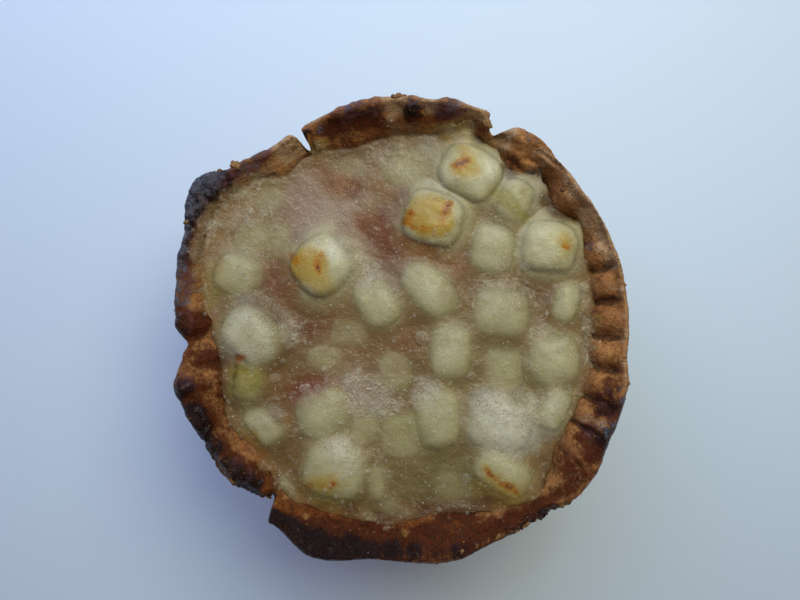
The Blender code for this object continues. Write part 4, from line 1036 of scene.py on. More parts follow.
# What stains it over the rest, in the same way. Three pale colours among them are painted:
# light at the flap's foot, and sheen on wet apple
STAINS = {
    "#6f6144": ((245, 267, 11, 0.6), (252, 300, 14, 0.5)),
    "#5f4c3a": ((265, 310, 13, 0.6), (273, 325, 9, 0.5), (280, 315, 9, 0.4)),
    "#75644c": ((395, 280, 12, 0.7), (390, 268, 8, 0.4), (495, 290, 10, 0.5)),
    "#6a5a42": ((518, 297, 13, 0.7), (504, 302, 10, 0.4)),
    "#7a5c3e": ((238, 222, 14, 0.5),),
    "#4f3a2a": ((270, 420, 9, 0.6),),
    "#5d4530": ((428, 256, 10, 0.6), (470, 250, 8, 0.3)),
    "#6d6a4c": ((520, 401, 8, 0.6), (482, 398, 8, 0.4)),
    "#5c4a35": ((587, 345, 5, 0.5), (586, 362, 5, 0.5), (588, 318, 5, 0.3)),
    # Painted light: golden froth at the flap's foot, painted lighter than it is where the flap shades it
    "#c2a765": ((460, 127, 11, 1.0), (450, 132, 8, 0.8), (468, 134, 7, 0.8)),
    "#bb9032": ((318, 143, 5, 0.9),),
    "#6b442d": ((283, 277, 9, 0.8), (281, 262, 7, 0.5), (291, 293, 7, 0.5)),
    "#7a6245": ((213, 225, 8, 0.6), (205, 238, 7, 0.4), (205, 252, 8, 0.5)),
    "#a0963c": ((504, 197, 6, 0.6), (515, 208, 5, 0.6), (497, 193, 4, 0.5), (523, 217, 3.5, 0.5)),
    "#4a2c12": ((275, 478, 7, 0.8), (284, 495, 7, 0.5), (350, 515, 7, 0.5), (380, 521, 8, 0.7),
                (410, 514, 9, 0.9), (425, 512, 8, 0.8), (440, 510, 9, 0.8), (455, 508, 8, 0.8),
                (470, 507, 8, 0.8), (486, 506, 7, 0.5), (550, 482, 9, 0.9), (560, 470, 8, 0.7),
                (566, 455, 7, 0.5), (222, 362, 5, 0.8), (226, 385, 5, 0.5), (570, 442, 6, 0.4)),
    "#5e4c38": ((585, 350, 6, 0.6), (586, 335, 6, 0.5), (586, 320, 6, 0.5), (584, 290, 6, 0.4),
                (580, 262, 6, 0.3), (578, 410, 6, 0.4)),
    "#664426": ((350, 150, 9, 0.6), (335, 153, 8, 0.4), (380, 146, 8, 0.4), (410, 140, 8, 0.3)),
    # Painted light: cream at the flap's foot, painted lighter than it is where the flap shades it
    "#cfc296": ((468, 143, 9, 0.9), (478, 146, 7, 0.7)),
    "#6f5936": ((400, 400, 10, 0.7),),
    "#8c8a34": ((243, 373, 7, 0.9), (247, 384, 8, 0.7)),
    "#7a4c16": ((262, 455, 7, 0.7), (253, 440, 6, 0.6), (270, 470, 6, 0.6), (405, 512, 7, 0.4)),
    "#6b5a20": ((455, 490, 14, 0.4),),
    "#7b7550": ((565, 300, 9, 0.6), (558, 340, 9, 0.6), (568, 393, 8, 0.5)),
    "#5f4a33": ((272, 412, 10, 0.7), (262, 402, 8, 0.5)),
    "#6d5a4c": ((385, 150, 16, 0.4), (355, 160, 14, 0.3)),
    "#4f2613": ((303, 400, 9, 0.6), (318, 388, 8, 0.4)),
    # Painted sheen: pale grey-white where wet apple under the jelly catches the light
    "#c2c2b4": ((505, 428, 20, 0.6), (480, 432, 10, 0.5), (530, 440, 9, 0.5), (235, 345, 12, 0.5),
                (495, 414, 12, 0.6), (515, 434, 14, 0.6), (482, 402, 8, 0.4), (250, 355, 10, 0.4),
                (340, 445, 9, 0.4)),
    "#4a3018": ((561, 207, 8, 0.9), (575, 214, 6, 0.9), (547, 200, 6, 0.8), (510, 171, 7, 0.8)),
    "#6b4a30": ((400, 200, 8, 0.7), (404, 190, 6, 0.6), (398, 215, 7, 0.6)),
    "#a0702f": ((430, 242, 8, 0.6), (412, 236, 6, 0.6)),
    "#6e5546": ((350, 250, 7, 0.4), (340, 232, 7, 0.5), (300, 238, 8, 0.5), (378, 271, 8, 0.7)),
    "#5c4838": ((250, 303, 9, 0.6), (270, 323, 9, 0.6), (285, 331, 7, 0.5), (268, 422, 9, 0.6)),
    "#7a3a20": ((303, 396, 9, 0.7), (315, 388, 8, 0.6)),
    "#3a2210": ((405, 512, 8, 0.7),),
    "#66633f": ((520, 401, 9, 0.6), (458, 328, 9, 0.5), (565, 345, 9, 0.4), (505, 355, 8, 0.4),
                (482, 398, 8, 0.4)),
    "#a88a3c": ((480, 488, 8, 0.5), (500, 497, 9, 0.6), (515, 500, 7, 0.5)),
    "#6b3a22": ((405, 242, 8, 0.6), (308, 390, 12, 0.9), (330, 386, 10, 0.5), (372, 228, 9, 0.6),
                (384, 234, 12, 0.7), (400, 368, 8, 0.5), (353, 187, 6, 0.5)),
    "#8a5a2a": ((293, 285, 6, 0.6), (288, 272, 6, 0.4), (342, 184, 11, 0.6), (425, 245, 13, 0.8),
                (408, 238, 8, 0.6), (445, 243, 8, 0.5)),
    "#6a4a38": ((450, 290, 10, 0.6),),
    "#726539": ((460, 480, 12, 0.6),),
    "#6f6424": ((244, 372, 8, 0.7), (246, 385, 8, 0.6)),
    "#54440f": ((236, 366, 3, 0.9), (235, 376, 3, 0.9), (235, 386, 3, 0.8)),
    "#5a2408": ((238, 357, 3, 0.9),),
    "#8a4a10": ((239, 358, 3, 0.9), (243, 357, 3, 0.7)),
    "#5b492b": ((430, 500, 12, 0.6), (380, 508, 10, 0.4)),
    "#3a2616": ((548, 200, 6, 0.8), (556, 210, 7, 0.9), (565, 218, 5, 0.6)),
    "#6b3d14": ((405, 512, 8, 0.7),),
    "#4a2413": ((395, 516, 8, 0.5), (385, 517, 7, 0.5), (425, 511, 8, 0.7), (445, 508, 8, 0.7),
                (465, 505, 9, 0.8), (485, 503, 8, 0.7), (350, 511, 7, 0.4), (320, 508, 6, 0.3),
                (500, 500, 6, 0.4)),
}
# Where apple that went soft clouds it, and where froth was caught in it
SOFT_APPLE = (
    (505, 425, 28, 0.9), (485, 425, 16, 0.6), (525, 430, 16, 0.5), (437, 415, 20, 0.5),
    (430, 395, 14, 0.5), (398, 432, 22, 0.6), (500, 368, 16, 0.5), (450, 345, 20, 0.5),
    (498, 315, 22, 0.5), (495, 240, 22, 0.5), (550, 355, 22, 0.5), (555, 410, 16, 0.6),
    (575, 300, 14, 0.3), (570, 340, 14, 0.4), (380, 305, 16, 0.5), (390, 320, 12, 0.4),
    (428, 290, 20, 0.5), (440, 305, 12, 0.4), (325, 420, 24, 0.4), (352, 425, 14, 0.4),
    (335, 465, 24, 0.4), (395, 370, 14, 0.5), (325, 350, 12, 0.5), (222, 280, 20, 0.5),
    (250, 330, 20, 0.6), (262, 345, 14, 0.5), (245, 310, 12, 0.4), (248, 405, 14, 0.5),
    (262, 425, 12, 0.5), (405, 165, 20, 0.5), (430, 160, 12, 0.4), (470, 180, 14, 0.4),
    (520, 185, 16, 0.5), (535, 200, 10, 0.4), (550, 245, 20, 0.4), (560, 270, 12, 0.4),
    (455, 485, 16, 0.35), (500, 480, 24, 0.4), (530, 485, 12, 0.5), (268, 232, 12, 0.5),
    (272, 195, 10, 0.6), (240, 245, 14, 0.4), (275, 235, 10, 0.4), (378, 480, 10, 0.5),
    (350, 430, 14, 0.3), (340, 370, 8, 0.3), (350, 300, 10, 0.2), (345, 170, 10, 0.4),
)
FROTHY = (
    (365, 395, 22, 0.8), (385, 405, 14, 0.8), (350, 388, 12, 0.5), (292, 333, 12, 0.7),
    (500, 275, 15, 0.5), (480, 283, 12, 0.3), (365, 278, 16, 0.7), (352, 262, 10, 0.5),
    (340, 250, 8, 0.4), (420, 390, 14, 0.5), (540, 330, 14, 0.6), (425, 230, 6, 0.3), (260, 208, 20, 0.5),
    (235, 215, 16, 0.4), (445, 245, 12, 0.4), (505, 420, 24, 0.4), (490, 405, 16, 0.7),
    (525, 415, 14, 0.7), (340, 455, 18, 0.5), (350, 470, 12, 0.4), (248, 340, 14, 0.5),
    (262, 352, 12, 0.5), (555, 405, 12, 0.5), (395, 160, 24, 0.4), (560, 262, 10, 0.4),
    (430, 385, 10, 0.5), (548, 372, 14, 0.3), (375, 462, 18, 0.3), (300, 425, 10, 0.3),
    (438, 410, 14, 0.3), (588, 330, 8, 0.5),
)


def shape_tree(pieces):
    """The shapes of some pieces together, for rays to hit."""
    points, faces = [], []
    for piece in pieces:
        start = len(points)
        points += [tuple(p) for p in corners(piece.data)]
        faces += [[start + corner for corner in face.vertices] for face in piece.data.polygons]
    return BVHTree.FromPolygons(points, faces)


def heights_under(tree, places, missing):
    """How high the shapes of a tree stand under each place, or a height where none does."""
    down = Vector((0.0, 0.0, -1.0))
    found = [tree.ray_cast(Vector((x, y, RAY_START)), down)[0] for x, y in places]
    return np.array([missing if hit is None else hit.z for hit in found])


def height_map(pieces):
    """How far some pieces stand above the jelly's level, over a square map of the pie."""
    heights = heights_under(shape_tree(pieces), MAP_PLACES, 0.0)
    return np.maximum(heights - LEVEL, 0.0).reshape(MAP_SHAPE)


def widened(field, reach):
    """A map, with each height carried outwards over a distance."""
    steps = round(reach / MAP_PITCH)
    shifts = [(across, up) for across in range(-steps, steps + 1) for up in range(-steps, steps + 1)
              if across * across + up * up <= steps * steps]
    return np.max([np.roll(field, shift, axis=(0, 1)) for shift in shifts], axis=0)


def blurred(field, reach):
    """A map, evened out over a distance."""
    steps = np.arange(-3 * reach, 3 * reach + MAP_PITCH / 2, MAP_PITCH)
    weights = np.exp(-0.5 * (steps / reach) ** 2)
    weights /= weights.sum()
    for axis in (0, 1):
        field = np.apply_along_axis(np.convolve, axis, field, weights, mode="same")
    return field


def sampled(field, points):
    """A map's values at points, read between its cells."""
    where = (points[:, :2] + MAP_HALF) / MAP_PITCH
    start = np.clip(np.floor(where).astype(int), 0, len(MAP_AXIS) - 2)
    part = np.clip(where - start, 0.0, 1.0)
    (i, j), (u, v) = start.T, part.T
    return ((1 - u) * (1 - v) * field[i, j] + u * (1 - v) * field[i + 1, j]
            + (1 - u) * v * field[i, j + 1] + u * v * field[i + 1, j + 1])


def showing(pieces, depth, reach, points):
    """How strongly some pieces show through the jelly at each point, softly edged."""
    under = LEVEL - heights_under(shape_tree(pieces), MAP_PLACES, 0.0)
    share = np.exp(-np.clip(under, 0.0, None) / depth).reshape(MAP_SHAPE)
    return sampled(blurred(share, reach), points)


def jelly_rings(middle, top):
    """Rings for the jelly: its foot, its side, and its top from the edge inwards."""
    foot = outline_of("jelly", JELLY_FOOT, middle)
    edge = ring_at(top, JELLY_AROUND, LEVEL, middle)
    outwards = (edge - middle) * (1.0, 1.0, 0.0)
    outwards /= np.linalg.norm(outwards, axis=1)[:, None]
    crept = marked(photo_pixels(edge + outwards * STICKY_REACH / 2), STICKY)
    crept *= 0.8 + 0.5 * fractal(edge, 3.0 * MM, 2, 71.0)
    grip = EDGE_GRIP + STICKY_REACH * np.clip(crept, 0.0, 1.1)
    grip = (grip + WANDER * fractal(edge, 2.6 * MM, 3, 73.0))[:, None]
    rings = [ring_at(foot, JELLY_AROUND, JELLY_FOOT, middle, 0.99),
             edge - outwards * SIDE_INWARDS - (0.0, 0.0, SIDE_DOWN)]
    for step in range(JELLY_RINGS):
        reach = edge + outwards * grip * ease(1.0 - step / GRIP_RINGS)
        ring = np.array(middle) + (reach - middle) * (1.0 - step / JELLY_RINGS)
        ring[:, 2] = LEVEL
        rings.append(ring)
    return np.array(rings)


def skirt_over(pieces, points):
    """The slope in which the jelly draws up to dice that stand proud of it."""
    proud = height_map(pieces)
    skirt = np.zeros(proud.shape)
    for reach in np.arange(0.3, 4.0, 0.3) * MM:
        skirt = np.maximum(skirt, BARE_SHARE * math.exp(-reach / SKIRT) * widened(proud, reach))
    return sampled(blurred(skirt, BARE_BLUR), points)


def film_over(pieces, points):
    """The film of jelly over dice that it just covers."""
    covered = height_map(pieces)
    covered = np.where(covered > 0.0, covered + FILM, 0.0)
    return sampled(blurred(widened(covered, FILM_SPREAD), FILM_BLUR), points)


def climb_at_edge(points, middle, top):
    """How far the jelly climbs the crust, close to it."""
    radii, shift = top
    turn, radius = polar(points, middle)
    edge = spline(radii, turn / math.tau * SOLID_COLUMNS - shift, closed=True)
    return CLIMB * np.exp(-np.clip(edge - radius, 0.0, None) / CLIMB_WIDTH)


def jelly_murk(pixels, meat, pale, heart, painted_light_halo):
    """The jelly's colour at each corner: what tints it from below, the apple and pork that
    show through it, a painted light halo around the proud dice, and the stains over all."""
    marks = {"soft": SOFT_APPLE, "yellow": YELLOWED, "green": GREENISH, "frost": FROST_AND_SHEEN,
             "sticky": STICKY, "toast": TOASTED}
    mark = {name: marked(pixels, table) for name, table in marks.items()}
    layers = [(marked(pixels, table), colour) for colour, table in TINTS.items()]
    layers += [
        (mark["soft"], "#968963"), (0.6 * meat, "#6f341c"), (pale, "#958c62"),
        # painted light: the pale halo around the proud dice
        (0.5 * heart, "#a5a07e"), (0.75 * painted_light_halo, "#bab48e"), (0.6 * mark["yellow"], "#93813f"),
        # frost and painted sheen, over the dice under the jelly
        (0.75 * mark["green"], "#888233"), (0.8 * mark["frost"], "#bdbdac"),
        (0.6 * mark["sticky"], "#94764a"), (0.85 * mark["toast"], "#8a4f14"),
    ]
    layers += [(marked(pixels, table), colour) for colour, table in STAINS.items()]
    murk = np.array(linear("#74572f")[:3]) * np.ones((len(pixels), 3))
    for share, colour in layers:
        murk += (np.array(linear(colour)[:3]) - murk) * share[:, None]
    return murk


def make_jelly(material, dice, sunk, crust, pork, scraps):
    """The jelly: a film over the lower dice, drawn up to the proud ones and to the crust,
    with its colour and its cloudiness stored for each corner."""
    middle = pie_middle()
    top = outline_of("jelly", LEVEL, middle)
    mesh = ring_solid("set_jelly", jelly_rings(middle, top))
    points = corners(mesh)
    pixels = photo_pixels(points)
    on_top = points[:, 2] > LEVEL - MERGE
    bare = [piece for piece in dice if piece.name[:8] in BARE_DICE]
    coated = [piece for piece in dice if piece.name[:8] not in BARE_DICE]

    dry = marked(pixels, DRY)
    skirt = skirt_over(bare, points) * (1.0 - dry)
    rise = np.maximum(film_over(coated, points), skirt)
    rise += climb_at_edge(points, middle, top)
    rise += HEAP * marked(pixels, HEAPED)
    rise += (0.16 * fractal(points, 5.0 * MM, 2, 3.0) + 0.05 * fractal(points, 1.3 * MM, 3, 8.0)) * MM
    bank = heights_under(shape_tree([crust]), points[:, :2], 0.0) - LEVEL
    stuck = marked(pixels, STICKY) + 0.35 * fractal(points, 1.4 * MM, 3, 77.0)
    rise = np.maximum(rise, bank + STICKY_FILM * (np.clip(stuck, 0.0, 1.0) - 0.4))
    points[:, 2] += rise * on_top
    set_corners(mesh, points)

    pixels = photo_pixels(points)
    apple = [*dice, *sunk]
    pale = showing(apple, DICE_DEPTH, DICE_BLUR, points)
    glow = showing(apple, GLOW_DEPTH, GLOW_BLUR, points)
    heart = np.clip(2.0 * showing(apple, HEART_DEPTH, HEART_BLUR, points) - 0.9, 0.0, 1.0)
    meat = showing([scraps], MEAT_DEPTH, MEAT_BLUR, points)
    # Painted light: a pale halo on the jelly up the slopes to the proud dice, lighter as it rises,
    # standing in for light that comes through them; it lightens the pale share too
    painted_light_halo = np.clip(2.0 * showing(bare, PAINTED_LIGHT_HALO_DEPTH, PAINTED_LIGHT_HALO_BLUR, points), 0.0, 1.0)
    painted_light_halo = np.maximum(painted_light_halo, ease(skirt / PAINTED_LIGHT_HALO_RISE)) * (1.0 - dry)
    pale = 1.0 - (1.0 - 0.9 * pale) * (1.0 - 0.45 * glow) * (1.0 - 0.7 * painted_light_halo)
    beneath = heights_under(shape_tree([*apple, crust, pork, scraps]), points[:, :2], PORK_TOP)
    depth = np.clip(points[:, 2] - beneath, 0.0, None)
    veil = VEIL_LEAST * (1.0 - np.exp(-depth / THIN))
    veil += (VEIL_MOST - VEIL_LEAST) * (1.0 - np.exp(-depth / VEIL_DEPTH))
    froth = np.maximum(marked(pixels, FROTHY), 0.7 * marked(pixels, STICKY))
    write_attribute(mesh, "veil", np.where(on_top, veil, 0.1))
    write_attribute(mesh, "froth", froth * on_top)
    write_attribute(mesh, "murk", jelly_murk(pixels, meat, pale, heart, painted_light_halo))
    made = place("set_jelly", mesh, material, ["jelly"])
    made.visible_shadow = False
    return made


def cloudy_jelly():
    """Set jelly of cooking juices: wet on top, milky where it lies thin over the dice,
    browner and cloudier with depth, with fine fibres and froth caught in its surface. Their
    pale strands and dots of air are partly painted glints."""
    material, tree, shader, where = new_material("cloudy_jelly")
    stored = {name: add(tree, "ShaderNodeAttribute", {"attribute_name": name}).outputs
              for name in ("veil", "froth", "murk")}
    cloud = grain(tree, where, 2.6 * MM, 4.0)
    fleck = grain(tree, where, 0.45 * MM, 4.0, 0.7)
    patchy = grain(tree, where, 1.4 * MM, 2.0)
    froth = edged(tree, stored["froth"]["Fac"], cloud, 0.9, 0.2, 1.0)
    foamy = laid(tree, "#827358", "#c0bba8", fleck)
    strands_and_glints = add(tree, "ShaderNodeMath", {"operation": "MULTIPLY"},
                  {0: creases(tree, where, (4.2 * MM, 0.02), (1.7 * MM, 0.035)),
                   1: edged(tree, stored["froth"]["Fac"], patchy, 1.6, 0.2, 1.0)})
    # Round dots of air, one to a cell of 0.8 mm, in about half of the cells, painted pale:
    # bubbles and painted glints
    dots = add(tree, "ShaderNodeTexVoronoi", {"feature": "F1"},
               {"Vector": where, "Scale": 1.0 / (0.8 * MM)}).outputs
    chance = add(tree, "ShaderNodeSeparateColor", None, {"Color": dots["Color"]}).outputs["Red"]
    width = add(tree, "ShaderNodeMapRange", None, {"Value": chance, "From Min": 0.45, "To Max": 0.28})
    air_dots_and_glints = add(tree, "ShaderNodeMath", {"operation": "SUBTRACT"}, {0: width, 1: dots["Distance"]})
    air_dots_and_glints = add(tree, "ShaderNodeMath", {"operation": "MULTIPLY", "use_clamp": True}, {0: air_dots_and_glints, 1: 9.0})
    colour = stored["murk"]["Color"]
    for coat, share, strength in (
        # pale strands and dots, partly painted glints
        ("#9a8560", cloud, 0.18), ("#4c351a", fleck, 0.3), ("#cbc4ae", strands_and_glints, 0.5),
        ("#c9c2ac", air_dots_and_glints, 0.6), (foamy, froth, 0.6),
    ):
        colour = laid(tree, colour, coat, share, strength)
    alpha = add(tree, "ShaderNodeMath", {"operation": "MULTIPLY_ADD"},
                {0: froth, 1: 0.3, 2: stored["veil"]["Fac"]})
    alpha = add(tree, "ShaderNodeMath", {"operation": "MULTIPLY_ADD", "use_clamp": True},
                {0: strands_and_glints, 1: 0.15, 2: alpha})
    wet = bump(tree, (cloud, 0.2 * MM), (strands_and_glints, 0.1 * MM), (air_dots_and_glints, 0.08 * MM), (fleck, 0.05 * MM))
    connect(tree, shader, {
        "Base Color": colour, "Alpha": alpha, "Normal": wet, "Coat Normal": wet,
        "Roughness": 0.3, "Specular IOR Level": 0.25,
        "Coat Weight": 0.5, "Coat Roughness": 0.07, "Coat IOR": 1.35,
    })
    return material


# ---------------------------------------------------------------- bubbles and crumbs

# Bubbles that show: pixels across and down, and width in mm
BUBBLES = (
    (304, 389, 1.9), (318, 388, 1.5), (324, 369, 1.2), (327, 380, 1.1), (525, 267, 1.5), (535, 305, 1.3),
    (422, 338, 2.6), (471, 376, 1.8), (476, 363, 1.1), (467, 477, 1.8), (275, 378, 1.9), (283, 361, 1.1),
    (456, 180, 1.3), (434, 232, 0.9), (527, 290, 0.9),
)
# Where fine bubbles sparkle along the jelly's edge, and where the rim is crumbly
SPARKLING = (
    (587, 285, 5, 0.8), (588, 300, 5, 0.8), (589, 315, 5, 0.9), (590, 330, 5, 0.8), (590, 345, 5, 1.0),
    (590, 358, 5, 1.0), (588, 372, 5, 0.9), (584, 384, 5, 0.6), (245, 204, 12, 1.0), (228, 212, 10, 1.0),
    (262, 205, 10, 0.8), (214, 228, 8, 1.0), (206, 240, 7, 0.8), (318, 146, 8, 1.0), (330, 152, 6, 0.7),
    (342, 508, 9, 0.9), (356, 515, 6, 0.7), (375, 523, 6, 0.7), (388, 527, 5, 0.8), (222, 396, 4, 0.9),
    (275, 480, 5, 0.9), (288, 486, 8, 0.8), (262, 425, 8, 0.7), (290, 336, 8, 0.7), (520, 265, 9, 0.5),
    (535, 300, 10, 0.5), (445, 268, 8, 0.7), (548, 484, 5, 0.8), (395, 132, 8, 0.5), (430, 236, 8, 0.4),
    (480, 232, 6, 0.4), (450, 178, 8, 0.6),
)
CRUMBLY = (
    (484, 116, 6, 0.8), (475, 118, 6, 0.4), (512, 128, 8, 0.4), (526, 130, 6, 0.5), (514, 530, 6, 0.9),
    (524, 524, 6, 0.8), (536, 517, 6, 0.7), (550, 508, 6, 0.7), (563, 502, 5, 0.8), (505, 532, 5, 0.6),
    (240, 486, 7, 0.8), (228, 476, 7, 0.8), (218, 464, 6, 0.7), (250, 490, 6, 0.8), (266, 497, 5, 0.7),
    (216, 172, 5, 0.7), (258, 152, 6, 0.5), (184, 220, 3, 1.0), (318, 144, 5, 0.8), (405, 530, 8, 0.7),
    (385, 528, 6, 0.6), (345, 532, 8, 0.5), (455, 528, 8, 0.5), (590, 415, 6, 0.5), (198, 412, 8, 0.4),
    (565, 480, 8, 0.3), (310, 514, 7, 0.7), (330, 516, 7, 0.8), (350, 519, 7, 0.7), (372, 524, 7, 0.8),
    (392, 527, 7, 0.9), (412, 524, 7, 0.9), (432, 522, 7, 0.7), (452, 520, 7, 0.6), (475, 516, 7, 0.5),
    (290, 508, 6, 0.6), (200, 240, 8, 0.5), (212, 216, 8, 0.6), (228, 198, 8, 0.6), (244, 184, 7, 0.6),
)


def clear_bubble():
    """Air caught in the jelly: clear, but for a painted highlight on its rim, pale and less clear where
    its curved wall is seen edge-on.
    """
    material, tree, shader, _ = new_material("clear_bubble")
    facing = add(tree, "ShaderNodeLayerWeight", None, {"Blend": 0.35}).outputs["Facing"]
    # Painted highlight: the rim is made pale and less clear by how edge-on it is seen
    alpha = add(tree, "ShaderNodeMapRange", None,
                {"Value": facing, "From Min": 0.2, "From Max": 0.9, "To Min": 0.08, "To Max": 0.7})
    connect(tree, shader, {"Base Color": "#e2dcc8", "Alpha": alpha, "Roughness": 0.06,
                           "Coat Weight": 1.0, "IOR": 1.36})
    return material


def scatter_tree(name, segments, rings, flat):
    """A tree that strews small rounded grains over a surface, most where it is marked."""
    tree = bpy.data.node_groups.new(name, "GeometryNodeTree")
    tree.interface.new_socket("Geometry", in_out="INPUT", socket_type="NodeSocketGeometry")
    for label, kind in (("Density", "NodeSocketFloat"), ("Least size", "NodeSocketFloat"),
                        ("Most size", "NodeSocketFloat"), ("Seed", "NodeSocketInt"),
                        ("Material", "NodeSocketMaterial")):
        tree.interface.new_socket(label, in_out="INPUT", socket_type=kind)
    tree.interface.new_socket("Geometry", in_out="OUTPUT", socket_type="NodeSocketGeometry")
    given = add(tree, "NodeGroupInput").outputs
    marks = add(tree, "GeometryNodeInputNamedAttribute", {"data_type": "FLOAT"}, {"Name": "strewn"})
    density = add(tree, "ShaderNodeMath", {"operation": "MULTIPLY"},
                  {0: given["Density"], 1: marks.outputs["Attribute"]})
    points = add(tree, "GeometryNodeDistributePointsOnFaces", None,
                 {"Mesh": given["Geometry"], "Density": density, "Seed": given["Seed"]})
    size = add(tree, "FunctionNodeRandomValue", {"data_type": "FLOAT"}, {"Seed": given["Seed"]})
    share = add(tree, "ShaderNodeMath", {"operation": "POWER"}, {0: size, 1: 2.5})
    size = add(tree, "ShaderNodeMapRange", None,
               {"Value": share, "To Min": given["Least size"], "To Max": given["Most size"]})
    turn = add(tree, "FunctionNodeRandomValue", {"data_type": "FLOAT_VECTOR"},
               {"Max": (math.tau, math.tau, math.tau), "Seed": given["Seed"]})
    grain_shape = add(tree, "GeometryNodeMeshUVSphere", None,
                      {"Segments": segments, "Rings": rings, "Radius": 0.5})
    flattened = add(tree, "GeometryNodeTransform", None,
                    {"Geometry": grain_shape.outputs["Mesh"], "Scale": (1.0, 1.0, flat)})
    placed = add(tree, "GeometryNodeInstanceOnPoints", None,
                 {"Points": points.outputs["Points"], "Instance": flattened,
                  "Scale": size.outputs["Result"], "Rotation": turn.outputs["Value"]})
    whole = add(tree, "GeometryNodeRealizeInstances", None, {"Geometry": placed})
    smooth = add(tree, "GeometryNodeSetShadeSmooth", None, {"Geometry": whole})
    painted = add(tree, "GeometryNodeSetMaterial", None,
                  {"Geometry": smooth, "Material": given["Material"]})
    add(tree, "NodeGroupOutput", None, {"Geometry": painted})
    return tree


def strew(name, tree, surface, strewn, slot, material, **inputs):
    """Runs a scatter tree over a surface's mesh and keeps the result as a plain mesh."""
    mesh = surface.data.copy()
    write_attribute(mesh, "strewn", strewn)
    ground = bpy.data.objects.new(name, mesh)
    bpy.context.scene.collection.objects.link(ground)
    modifier = ground.modifiers.new(name, "NODES")
    modifier.node_group = tree
    labels = {item.name: item.identifier for item in tree.interface.items_tree
              if item.item_type == "SOCKET" and item.in_out == "INPUT"}
    for label, value in {**inputs, "Material": material}.items():
        modifier[labels[label.replace("_", " ")]] = value
    seen = ground.evaluated_get(bpy.context.evaluated_depsgraph_get())
    made = bpy.data.meshes.new_from_object(seen)
    bpy.data.objects.remove(ground)
    made.name = name
    return place(name, made, material)


def make_fine_bubbles(tree, jelly, material):
    """Pin-prick bubbles in the jelly's surface, thick in the froth and along the edge."""
    points = corners(jelly.data)
    pixels = photo_pixels(points)
    froth = marked(pixels, FROTHY)
    sparkle = marked(pixels, SPARKLING)
    top = points[:, 2] > LEVEL - 0.5 * MM
    strewn = (0.12 + 0.8 * froth + 0.9 * sparkle) * top
    return strew("fine_bubbles", tree, jelly, strewn, "jelly", material,
                 Density=1.3e6, Least_size=0.15 * MM, Most_size=0.9 * MM, Seed=4)


def make_crumbs(tree, crust, material):
    """Loose crumbs and flakes of crust that cling to the rim's broken places."""
    pixels = photo_pixels(corners(crust.data))
    rim = np.empty(len(pixels))
    crust.data.attributes["rim"].data.foreach_get("value", rim)
    strewn = (0.06 + marked(pixels, CRUMBLY)) * (rim > 0.9)
    return strew("pastry_crumbs", tree, crust, strewn, "pastry", material,
                 Density=1.6e6, Least_size=0.1 * MM, Most_size=0.5 * MM, Seed=9)


def make_big_bubbles(material, jelly):
    """The bubbles that show singly, each a low dome in the jelly's surface."""
    tree = shape_tree([jelly])
    bubbles = bmesh.new()
    for across, down, width in BUBBLES:
        middle = photo_place(across, down, LEVEL)
        middle.z = heights_under(tree, [(middle.x, middle.y)], LEVEL)[0] - 0.05 * width * MM
        made = bmesh.ops.create_uvsphere(bubbles, u_segments=24, v_segments=14, radius=width / 2 * MM)
        bmesh.ops.translate(bubbles, verts=made["verts"], vec=middle)
    return place_shapes("jelly_bubbles", bubbles, material)


RIM_HEIGHT = 47.5 * MM  # at which the pixels of the shreds are read
# Shreds of pastry that stick up from the rim: pixels across and down, length, width and
# height in mm, and turn in degrees
SHREDS = (
    (399, 95, 2.4, 1.0, 1.4, 5), (393, 92, 0.7, 0.7, 1.8, 20), (234, 164, 1.9, 1.4, 1.5, -30),
    (238, 167, 1.0, 0.8, 1.0, 40), (217, 168, 0.8, 0.6, 1.0, 0), (183, 221, 1.1, 0.5, 0.6, 10),
    (563, 190, 1.1, 0.8, 0.7, -35), (628, 384, 0.9, 0.6, 0.7, 60), (626, 285, 0.6, 0.5, 0.6, 80),
    (489, 121, 1.8, 1.4, 1.2, -50), (268, 497, 1.5, 0.5, 0.6, -35), (246, 491, 1.4, 0.5, 0.6, -30),
    (232, 481, 1.5, 0.5, 0.6, -38), (515, 531, 2.0, 0.8, 0.7, 20), (526, 525, 1.6, 0.8, 0.6, 35),
    (563, 504, 1.8, 0.8, 0.7, 15), (498, 537, 1.2, 0.5, 0.5, 50), (462, 552, 0.9, 0.5, 0.6, 70),
)


def make_shreds(material, crust):
    """Torn shreds and nubs of pastry, each set into the rim under the pixel that shows it,
    or as far inwards of it as the rim is first met."""
    tree = shape_tree([crust])
    draw = np.random.default_rng(12)
    shreds = bmesh.new()
    for across, down, length, width, height, turn in SHREDS:
        foot, inwards = None, 0
        while foot is None:
            spot = MIDDLE_PIXEL + (Vector((across, down)) - MIDDLE_PIXEL) * (1.0 - 0.004 * inwards)
            foot = tree.ray_cast(CAMERA_PLACE, photo_place(*spot, RIM_HEIGHT) - CAMERA_PLACE)[0]
            inwards += 1
        seed = Vector(draw.uniform(-50.0, 50.0, 3))
        for corner in bmesh.ops.create_icosphere(shreds, subdivisions=3, radius=0.5)["verts"]:
            swell = 1.0 + 0.7 * noise.fractal(corner.co * 3.0 + seed, 1.0, 2.0, 3)
            x, y, z = corner.co * swell
            corner.co = foot + turned(x * length * MM, y * width * MM, z * height * MM, turn)
    return place_shapes("pastry_shreds", shreds, material)


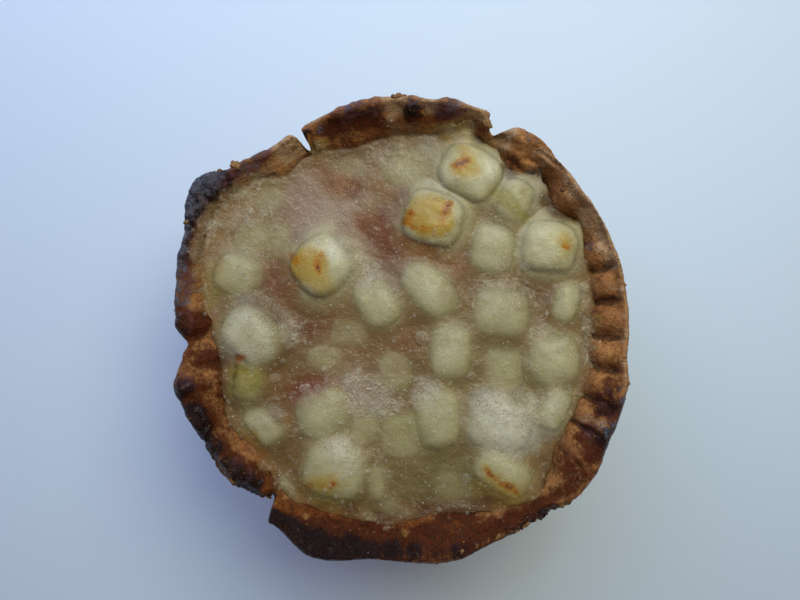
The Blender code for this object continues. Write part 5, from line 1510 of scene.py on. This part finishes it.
def golden_pastry():
    """Shreds, flakes and crumbs of pastry, thin enough to have dried golden."""
    material, tree, shader, where = new_material("golden_pastry")
    mealy = grain(tree, where, 0.7 * MM, 4.0)
    broad = grain(tree, where, 4.0 * MM, 2.0)
    colour = laid(tree, laid(tree, "#6b4626", "#a27c4c", broad), "#45291a", mealy, 0.5)
    connect(tree, shader, {"Base Color": colour, "Normal": bump(tree, (mealy, 0.12 * MM)),
                           "Roughness": 0.6, "Specular IOR Level": 0.25})
    return material


# ---------------------------------------------------------------- scene

FLOOR_HALF = 3.0
FLOOR_LEVEL = -0.2 * MM  # a hair under the pie's base
ROOM_COLOUR = (0.168, 0.14, 0.154, 1.0)
# Lights: place, width, power in watts, and colour
LIGHTS = {
    "window": ((-0.092, 0.241, 0.235), 0.38, 1.0, (0.531, 0.642, 0.948)),
    "lamp": ((0.10, 0.149, 0.315), 0.20, 1.0, (0.694, 0.687, 0.474)),
}


def pale_table():
    """A plain painted table, pale, faintly blue and matt."""
    material, tree, shader, _ = new_material("pale_table")
    connect(tree, shader, {"Base Color": "#cbddf1", "Roughness": 0.6})
    return material


def make_stage():
    """The table under the pie, and a soft room's light."""
    mesh = bpy.data.meshes.new("floor")
    spans = ((-1, -1), (1, -1), (1, 1), (-1, 1))
    mesh.from_pydata([(x * FLOOR_HALF, y * FLOOR_HALF, FLOOR_LEVEL) for x, y in spans],
                     [], [(0, 1, 2, 3)])
    mesh.materials.append(pale_table())
    floor = bpy.data.objects.new("floor", mesh)
    bpy.context.scene.collection.objects.link(floor)
    world = bpy.data.worlds.new("soft_room")
    world.use_nodes = True
    background = world.node_tree.nodes["Background"]
    connect(world.node_tree, background, {"Color": ROOM_COLOUR, "Strength": 1.0})
    bpy.context.scene.world = world


def soft_light(name, spot, size, power, colour):
    """A round soft light at a spot, turned to the middle of the filling's surface."""
    light = bpy.data.lights.new(name, "AREA")
    light.shape = "DISK"
    light.size = size
    light.energy = power
    light.color = colour
    lamp = bpy.data.objects.new(name, light)
    lamp.location = spot
    aim = Vector((0.0, 0.0, LEVEL)) - Vector(spot)
    lamp.rotation_euler = aim.to_track_quat("-Z", "Y").to_euler()
    bpy.context.scene.collection.objects.link(lamp)


def make_camera():
    """The camera, straight above the pie."""
    data = bpy.data.cameras.new("overhead")
    data.lens = LENS
    data.sensor_width = SENSOR
    data.clip_start = 0.01
    camera = bpy.data.objects.new("overhead", data)
    camera.location = CAMERA_PLACE
    bpy.context.scene.collection.objects.link(camera)
    bpy.context.scene.camera = camera


def main():
    """Builds the pie from the crust inwards, then what it stands on and how it is seen."""
    bpy.context.scene.view_settings.view_transform = "Standard"
    pastry = baked_pastry()
    apple = cooked_apple()
    crust = make_crust(pastry)
    dice = make_dice(apple)
    sunk = make_sunk_dice(apple)
    meat = cooked_pork()
    pork = make_pork(meat)
    scraps = make_pork_scraps(meat)
    jelly = make_jelly(cloudy_jelly(), dice, sunk, crust, pork, scraps)
    bubble = clear_bubble()
    make_big_bubbles(bubble, jelly)
    make_fine_bubbles(scatter_tree("bubbles", segments=8, rings=5, flat=1.0), jelly, bubble)
    flakes = golden_pastry()
    make_shreds(flakes, crust)
    make_crumbs(scatter_tree("crumbs", segments=6, rings=4, flat=0.5), crust, flakes)
    make_stage()
    for name, light in LIGHTS.items():
        soft_light(name, *light)
    make_camera()


main()
